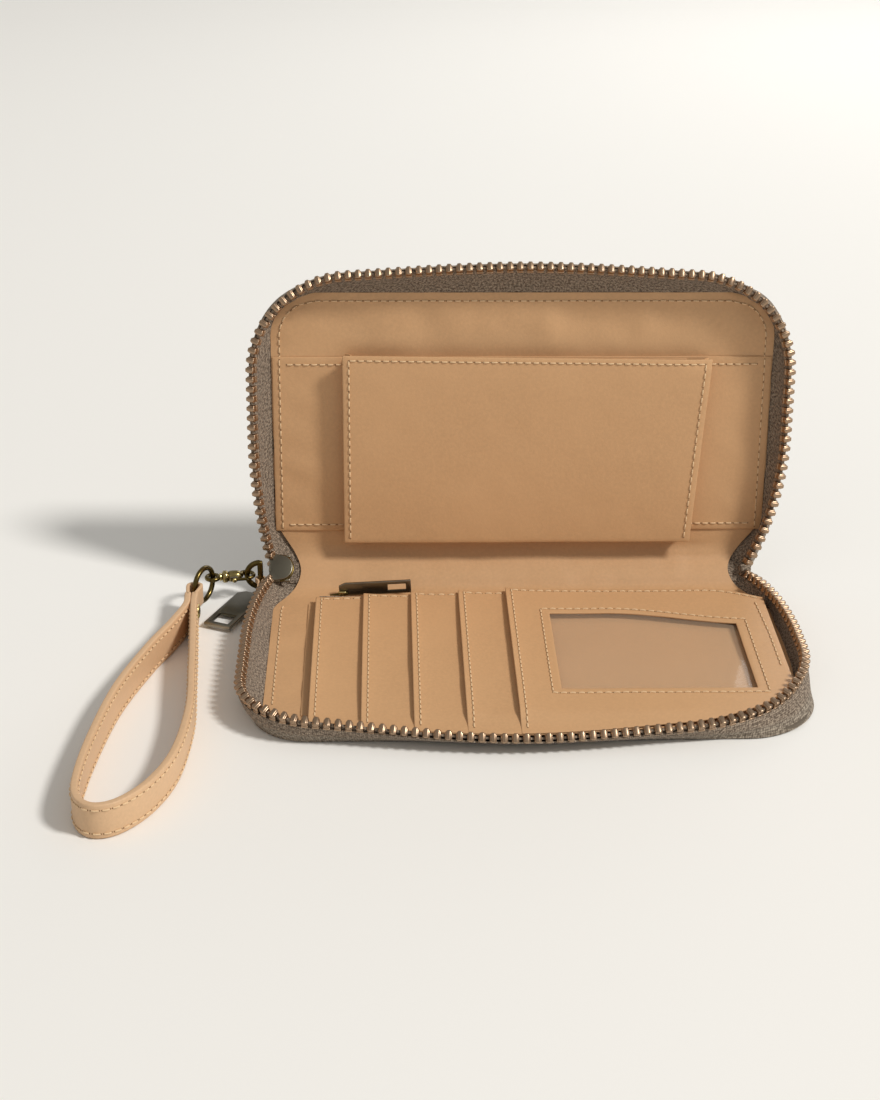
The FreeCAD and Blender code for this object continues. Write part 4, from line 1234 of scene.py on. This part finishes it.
def slider():
    """Shield faced slider with a post, two plates, side flanges and a bridge."""
    low, high = -98.5, -88.5
    tail = [(1.6, 5.6), (0.2, 4.6), (1.4, 1.4), (1.4, -1.4), (0.2, -4.6), (1.6, -5.6)]
    outline = [(high - 5.0 + 5.0 * math.cos(a), 5.2 * math.sin(a)) for a in arc(-90, 90, 25)]
    outline += [(low + x, y) for x, y in tail]
    axes = frame_matrix(spine(0, MID_SPINE, 0), *SPINE_AXES)
    shapes = [moved(plate(outline, (range(len(outline)),), thick, 0.35, 0.9),
                    axes @ Matrix.Translation((0, 0, level))) for level, thick in ((7.5, 1.3), (-0.6, 1.2))]
    shapes += [spine_block(size, low + u, w, n) for size, u, w, n in (
        ((3.0, 3.2, 8.0), 2.2, 0.0, 3.4),
        ((8.0, 1.0, 2.0), 5.0, -5.0, 6.2), ((8.0, 1.0, 2.0), 5.0, 5.0, 6.2),
        ((1.2, 1.2, 3.4), 0.8, -1.0, -2.7), ((1.2, 1.2, 3.4), 6.6, -1.0, -2.7),
        ((7.0, 1.2, 1.0), 3.7, -1.0, -3.7))]
    solid_piece("slider_metal", shapes, GUNMETAL, "spine", ("zip_slider",))
    rim = [spine(high - 5.0 + 5.1 * math.cos(a), MID_SPINE + 5.3 * math.sin(a), 6.9)
           for a in arc(-90, 90, 21)]
    solid_piece("slider_rim_brass", [tube_mesh(rim, 0.45, 8)], BRASS, "spine")


def d_ring():
    low, high = box_mm("d_ring")
    wire = (high.y - low.y) / 2
    bar_x = high.x - wire
    centre = Vector((bar_x, (low.y + high.y) / 2, (low.z + high.z) / 2))
    radius = (high.z - low.z) / 2 - wire
    line = [centre + Vector((-radius * math.sin(a), 0, radius * math.cos(a))) for a in arc(0, 180, 29)]
    bar = [centre + Vector((0, 0, -radius + 2 * radius * t / 12)) for t in range(1, 12)]
    solid_piece("d_ring_metal", [tube_mesh(line + bar, wire, 14, closed=True, up=Vector((0, 1, 0)))], BRASS,
                "d_ring", ("d_ring",))
    low, high = box_mm("d_ring_tab")
    mid = (low.z + high.z) / 2
    loop = [Vector((bar_x + 1.75 * math.cos(a), centre.y + 1.75 * math.sin(a), mid))
            for a in arc(-60, 240, 21)]
    loop = [Vector((bar_x + 0.5, low.y, mid)), Vector((bar_x + 0.6, centre.y - 3.0, mid))] + loop
    loop += [Vector((bar_x - 0.6, centre.y - 3.0, mid)), Vector((bar_x - 0.5, low.y, mid))]
    section = [(0.4, 1.0), (-0.4, 1.0), (-0.4, -1.0), (0.4, -1.0)]
    points, faces, _ = strap_shape(loop, section, 0.0)
    tab = new_piece("d_ring_tab_leather", points, faces, STRAP_TAN)
    with_modifiers(tab, ("BEVEL", {"width": 0.2 * MM, "segments": 2, "limit_method": "ANGLE"}))
    settle(tab, "lower_half", replaces=("d_ring_tab",))


HOOK_AXIS = Vector(JOINTS["gate_slide"]["axis"])
HOLD = Vector(JOINTS["hook_turn"]["pos_m"]) / MM
EYE = Vector(JOINTS["swivel_turn"]["pos_m"]) / MM
RING_FRONT = Vector(JOINTS["strap_swing"]["pos_m"]) / MM


def hook():
    aside = UP.cross(HOOK_AXIS)
    claw = [HOLD + HOOK_AXIS * (2.6 * math.cos(a)) + aside * (2.6 * math.sin(a)) for a in arc(90, 360, 31)]
    profile = [(2.0, 0.9), (2.6, 1.7), (3.4, 2.1), (4.4, 2.25), (6.6, 2.25), (7.0, 1.9), (7.4, 1.9),
               (7.7, 2.4), (8.9, 2.5), (9.3, 2.2), (9.8, 1.5)]
    shapes = [tube_mesh(claw, lambda t: 0.75 + 0.55 * t ** 2), revolve(profile, HOLD, HOOK_AXIS)]
    piece = new_piece("snap_hook_metal", *merged(shapes), BRASS)
    with_modifiers(piece, ("SUBSURF", {"levels": 1}))
    settle(piece, "snap_hook", replaces=("snap_hook",))
    # A dark gunmetal block on the barrel stands in for the gate's slot: painted shade.
    slot_at = HOLD + HOOK_AXIS * 5.2 + aside * 2.05
    slot = moved(rounded_block((3.2, 0.7, 1.5), 0.25), frame_matrix(slot_at, HOOK_AXIS, aside, UP))
    solid_piece("hook_slot_shade", [slot], GUNMETAL, "snap_hook")
    start = HOLD + aside * 3.2 + HOOK_AXIS * 0.3
    bolt = [start + HOOK_AXIS * (6.2 * t / 6) for t in range(7)]
    knob = revolve([(0, 0.5), (0.15, 0.8), (0.8, 0.95), (1.2, 0.7), (1.3, 0.3)], start + HOOK_AXIS * 4.8,
                   aside, 16)
    solid_piece("hook_gate_metal", [tube_mesh(bolt, 0.62, 10), knob], BRASS, "hook_gate", ("hook_gate",))


def swivel():
    loop = ring_line(EYE, HOOK_AXIS, UP.cross(HOOK_AXIS), 2.3, 40)
    profile = [(-6.0, 1.1), (-5.4, 1.15), (-3.6, 1.15), (-3.2, 1.5), (-2.7, 1.5), (-2.4, 1.0), (-2.0, 0.7)]
    post = revolve(profile, EYE, HOOK_AXIS, 20)
    solid_piece("swivel_eye_metal", [tube_mesh(loop, 0.85, closed=True), post], BRASS, "swivel_eye",
                ("swivel_eye",))
    reach = (EYE - RING_FRONT) / 2
    flat = reach.normalized()
    line = ring_line((EYE + RING_FRONT) / 2, flat, UP, reach.length, 72)
    solid_piece("strap_ring_metal", [tube_mesh(line, 1.0, 14, closed=True, up=flat.cross(UP))], BRASS,
                "strap_ring", ("strap_ring",))


def main_pull():
    """The slider's pull plate on its link."""
    pivot = Vector(JOINTS["pull_level"]["pos_m"]) / MM
    low = box_mm("zip_pull")[0]
    along = Vector((low.x + 5.0 - pivot.x, low.y + 2.2 - pivot.y, 0)).normalized()
    side = Vector((-along.y, along.x, 0))
    plate_mesh = moved(window_plate(29.2, 11.0, 1.5, (7.4, 7.0), 2.2, 0.5),
                       frame_matrix(pivot + along * 0.6, along, side, UP))
    solid_piece("zip_pull_metal", [plate_mesh], GUNMETAL, "zip_pull", ("zip_pull",))
    bar = Vector(JOINTS["pull_hang"]["pos_m"]) / MM
    eye = ring_line(bar, Vector((0, 1, 0)), UP, 1.55, 28)
    arm = [bar + Vector((0, -1.3, -1.0)), bar + Vector((-4.0, -4.0, -1.2)), pivot + along * 0.2]
    solid_piece("pull_link_metal", [tube_mesh(eye, 0.5, 10, closed=True, up=Vector((1, 0, 0))),
                                    tube_mesh(catmull(arm, 6), 0.62, 10)],
                GUNMETAL, "pull_link", ("pull_link",))


# ---------------------------------------------------------------- wrist strap

STRAP_NECK = Vector((-125.9, 33.0, 0.0))
STRAP_LINE = [
    (-127.3, 26.0), (-131.5, 12.0), (-138.0, -6.0), (-146.0, -35.0), (-150.5, -68.0), (-151.8, -92.0),
    (-150.2, -104.0), (-144.5, -109.5), (-136.5, -106.8), (-128.0, -95.5), (-121.8, -77.0), (-119.5, -49.0),
    (-121.0, -21.0), (-122.8, 5.0), (-124.4, 26.0),
]
STRAP_THICK, STRAP_WIDE, STRAP_LOW = 2.4, 12.5, 0.25


def strap_section(thick, wide, bevel=0.55):
    """Outline of the strap's section, from its inner face round, with softened corners."""
    x, z = thick / 2, wide / 2
    outline = []
    for sx, sz, turn in ((1, 1, 0), (-1, 1, 90), (-1, -1, 180), (1, -1, 270)):
        for step in range(4):
            angle = math.radians(turn + 30 * step)
            outline.append(((x - bevel) * sx + bevel * math.cos(angle),
                            (z - bevel) * sz + bevel * math.sin(angle)))
    return outline


def strap_shape(line, section, low):
    """Points, faces and flat places of a band along a level line, from its section's corners."""
    points, uvs = [], []
    run = 0.0
    count = len(line)
    for i, p in enumerate(line):
        along = (line[min(i + 1, count - 1)] - line[max(i - 1, 0)]).normalized()
        side = Vector((along.y, -along.x, 0)).normalized()
        run += (p - line[i - 1]).length if i else 0.0
        for dx, dz in section:
            points.append(p + side * dx + Vector((0, 0, low + dz)))
            uvs.append((run, dz + dx))
    return points, [face[::-1] for face in loft_faces(count, len(section))], uvs


def strap():
    half = STRAP_THICK / 2 + 0.1
    left_neck = STRAP_NECK + Vector((-half, 0, 0))
    right_neck = STRAP_NECK + Vector((half, 0, 0))
    knots = [left_neck + Vector((0, 2, 0)), left_neck] + [Vector((x, y, 0)) for x, y in STRAP_LINE]
    knots += [right_neck, right_neck + Vector((0, 2, 0))]
    line = resample(catmull(knots, 10), spacing=1.6)
    points, faces, uvs = strap_shape(line, strap_section(STRAP_THICK, STRAP_WIDE), STRAP_LOW + STRAP_WIDE / 2)
    settle(new_piece("wrist_strap_leather", points, faces, STRAP_TAN, uvs), "wrist_strap",
           replaces=("wrist_strap",))
    bend = 2.5               # the bent end's centre line from the ring's middle
    fold = [Vector((RING_FRONT.x + bend * x, RING_FRONT.y + bend * y, 0))
            for x, y in ((-1, 0), (-0.7, 0.7), (0, 1), (0.7, 0.7), (1, 0))]
    fold = [left_neck + Vector((0, 1, 0))] + fold + [right_neck + Vector((0, 1, 0))]
    fold_line = resample(catmull(fold, 8), spacing=0.8)
    points, faces, uvs = strap_shape(fold_line, strap_section(1.3, 7.5, 0.35), RING_FRONT.z - 1.0)
    settle(new_piece("strap_end_leather", points, faces, STRAP_TAN, uvs), "wrist_strap")
    rivet()
    strap_stitches(line)


def rivet():
    low, high = box_mm("strap_rivet")
    middle = (low + high) / 2
    profile = [(-0.5, 2.2), (0.0, 2.75), (0.35, 2.6), (0.62, 1.9), (0.62, 1.2), (0.4, 0.9)]
    caps = [revolve(profile, Vector((x, middle.y, middle.z)), Vector((direction, 0, 0)))
            for x, direction in ((low.x + 0.6, -1), (high.x - 0.6, 1))]
    solid_piece("strap_rivet_metal", caps, BRASS, "wrist_strap", ("strap_rivet",))


def strap_stitches(line):
    """Two rows of stitches on each face of the strap."""
    lengths = lengths_along(line)
    starts = [5 + number * STITCH_PITCH for number in range(int((lengths[-1] - 10) / STITCH_PITCH))]
    seams = []
    for sign in (-1, 1):
        for height in (1.9, STRAP_WIDE - 1.9):

            def at(distance, sign=sign, height=height):
                k, share = stretch_at(lengths, distance)
                along = (line[k + 1] - line[k]).normalized()
                out = Vector((along.y, -along.x, 0)) * sign
                place = line[k].lerp(line[k + 1], min(1.0, share))
                return place + out * (STRAP_THICK / 2) + UP * (STRAP_LOW + height), out
            seams.append(sewn(at, starts, 0.04, 0.5, 0.2, 0.05, UP))
    stitch_piece("stitches_strap", seams, "wrist_strap", slot="strap_leather")


# ---------------------------------------------------------------- CAD nodes that stay

def keep_cad():
    materials = {slot: material for material, slot in SLOTS.items()}
    slots = {part["node"]: part["material_slot"] for part in frame["record"]["subparts"]}
    for name, node in frame["nodes"].items():
        if not node.hide_render:
            node.data.materials.clear()
            node.data.materials.append(materials[slots[name]])


# ---------------------------------------------------------------- floor, light and camera

def stage():
    size = 6.0
    mesh = bpy.data.meshes.new("floor")
    corners = [(-size, -size, 0), (size, -size, 0), (size, size, 0), (-size, size, 0)]
    mesh.from_pydata(corners, [], [(0, 1, 2, 3)])
    mesh.materials.append(plain("floor_paper", rgb(244, 242, 237), 0.9))
    floor = bpy.data.objects.new("floor", mesh)
    bpy.context.scene.collection.objects.link(floor)


def area_light(name, place, target, size, power, color=(1, 1, 1)):
    data = bpy.data.lights.new(name, "AREA")
    data.shape = "DISK"
    data.size = size
    data.energy = power
    data.color = color
    lamp = bpy.data.objects.new(name, data)
    bpy.context.scene.collection.objects.link(lamp)
    lamp.location = place
    lamp.rotation_euler = (Vector(target) - Vector(place)).to_track_quat("-Z", "Y").to_euler()


def lights():
    world = bpy.data.worlds.new("studio")
    bpy.context.scene.world = world
    world.use_nodes = True
    background = world.node_tree.nodes["Background"]
    background.inputs["Color"].default_value = (1.0, 0.985, 0.955, 1.0)
    background.inputs["Strength"].default_value = 0.39
    area_light("key", (3.7, -1.76, 4.25), (0, 0, 0.03), 1.05, 258.0, (1.0, 0.98, 0.955))
    area_light("fill", (-1.4, -1.6, 1.6), (0, 0.02, 0.03), 1.6, 1.5, (1.0, 0.99, 0.97))
    area_light("back", (0.52, 1.26, 0.66), (0.07, 0, 0.01), 0.62, 2.6)
    scene = bpy.context.scene
    scene.view_settings.view_transform = "Standard"
    scene.view_settings.look = "None"


CAMERA_PLACE = Vector((-51.8, -631.6, 354.5))
CAMERA_YAW, CAMERA_PITCH, CAMERA_ROLL = 1.705, 25.95, 0.505
CAMERA_LENS = 64.6


def camera():
    yaw, pitch, roll = (math.radians(angle) for angle in (CAMERA_YAW, CAMERA_PITCH, CAMERA_ROLL))
    ahead = Vector((math.sin(yaw) * math.cos(pitch), math.cos(yaw) * math.cos(pitch), -math.sin(pitch)))
    right = Vector((math.cos(yaw), -math.sin(yaw), 0))
    up = right.cross(ahead)
    data = bpy.data.cameras.new("camera")
    data.lens = CAMERA_LENS
    data.clip_start = 0.01
    eye = bpy.data.objects.new("camera", data)
    bpy.context.scene.collection.objects.link(eye)
    eye.matrix_world = frame_matrix(CAMERA_PLACE * MM, right * math.cos(roll) + up * math.sin(roll),
                                    up * math.cos(roll) - right * math.sin(roll), -ahead)
    bpy.context.scene.camera = eye


camera()
lights()
stage()
linings()
outer_cloth()
case_zip("lower", lower, LOWER_BEND)
case_zip("upper", upper, UPPER_BEND)
zip_ends()
card_layers()
id_pocket()
coin_zip()
phone_side()
slider()
d_ring()
hook()
swivel()
main_pull()
strap()
keep_cad()
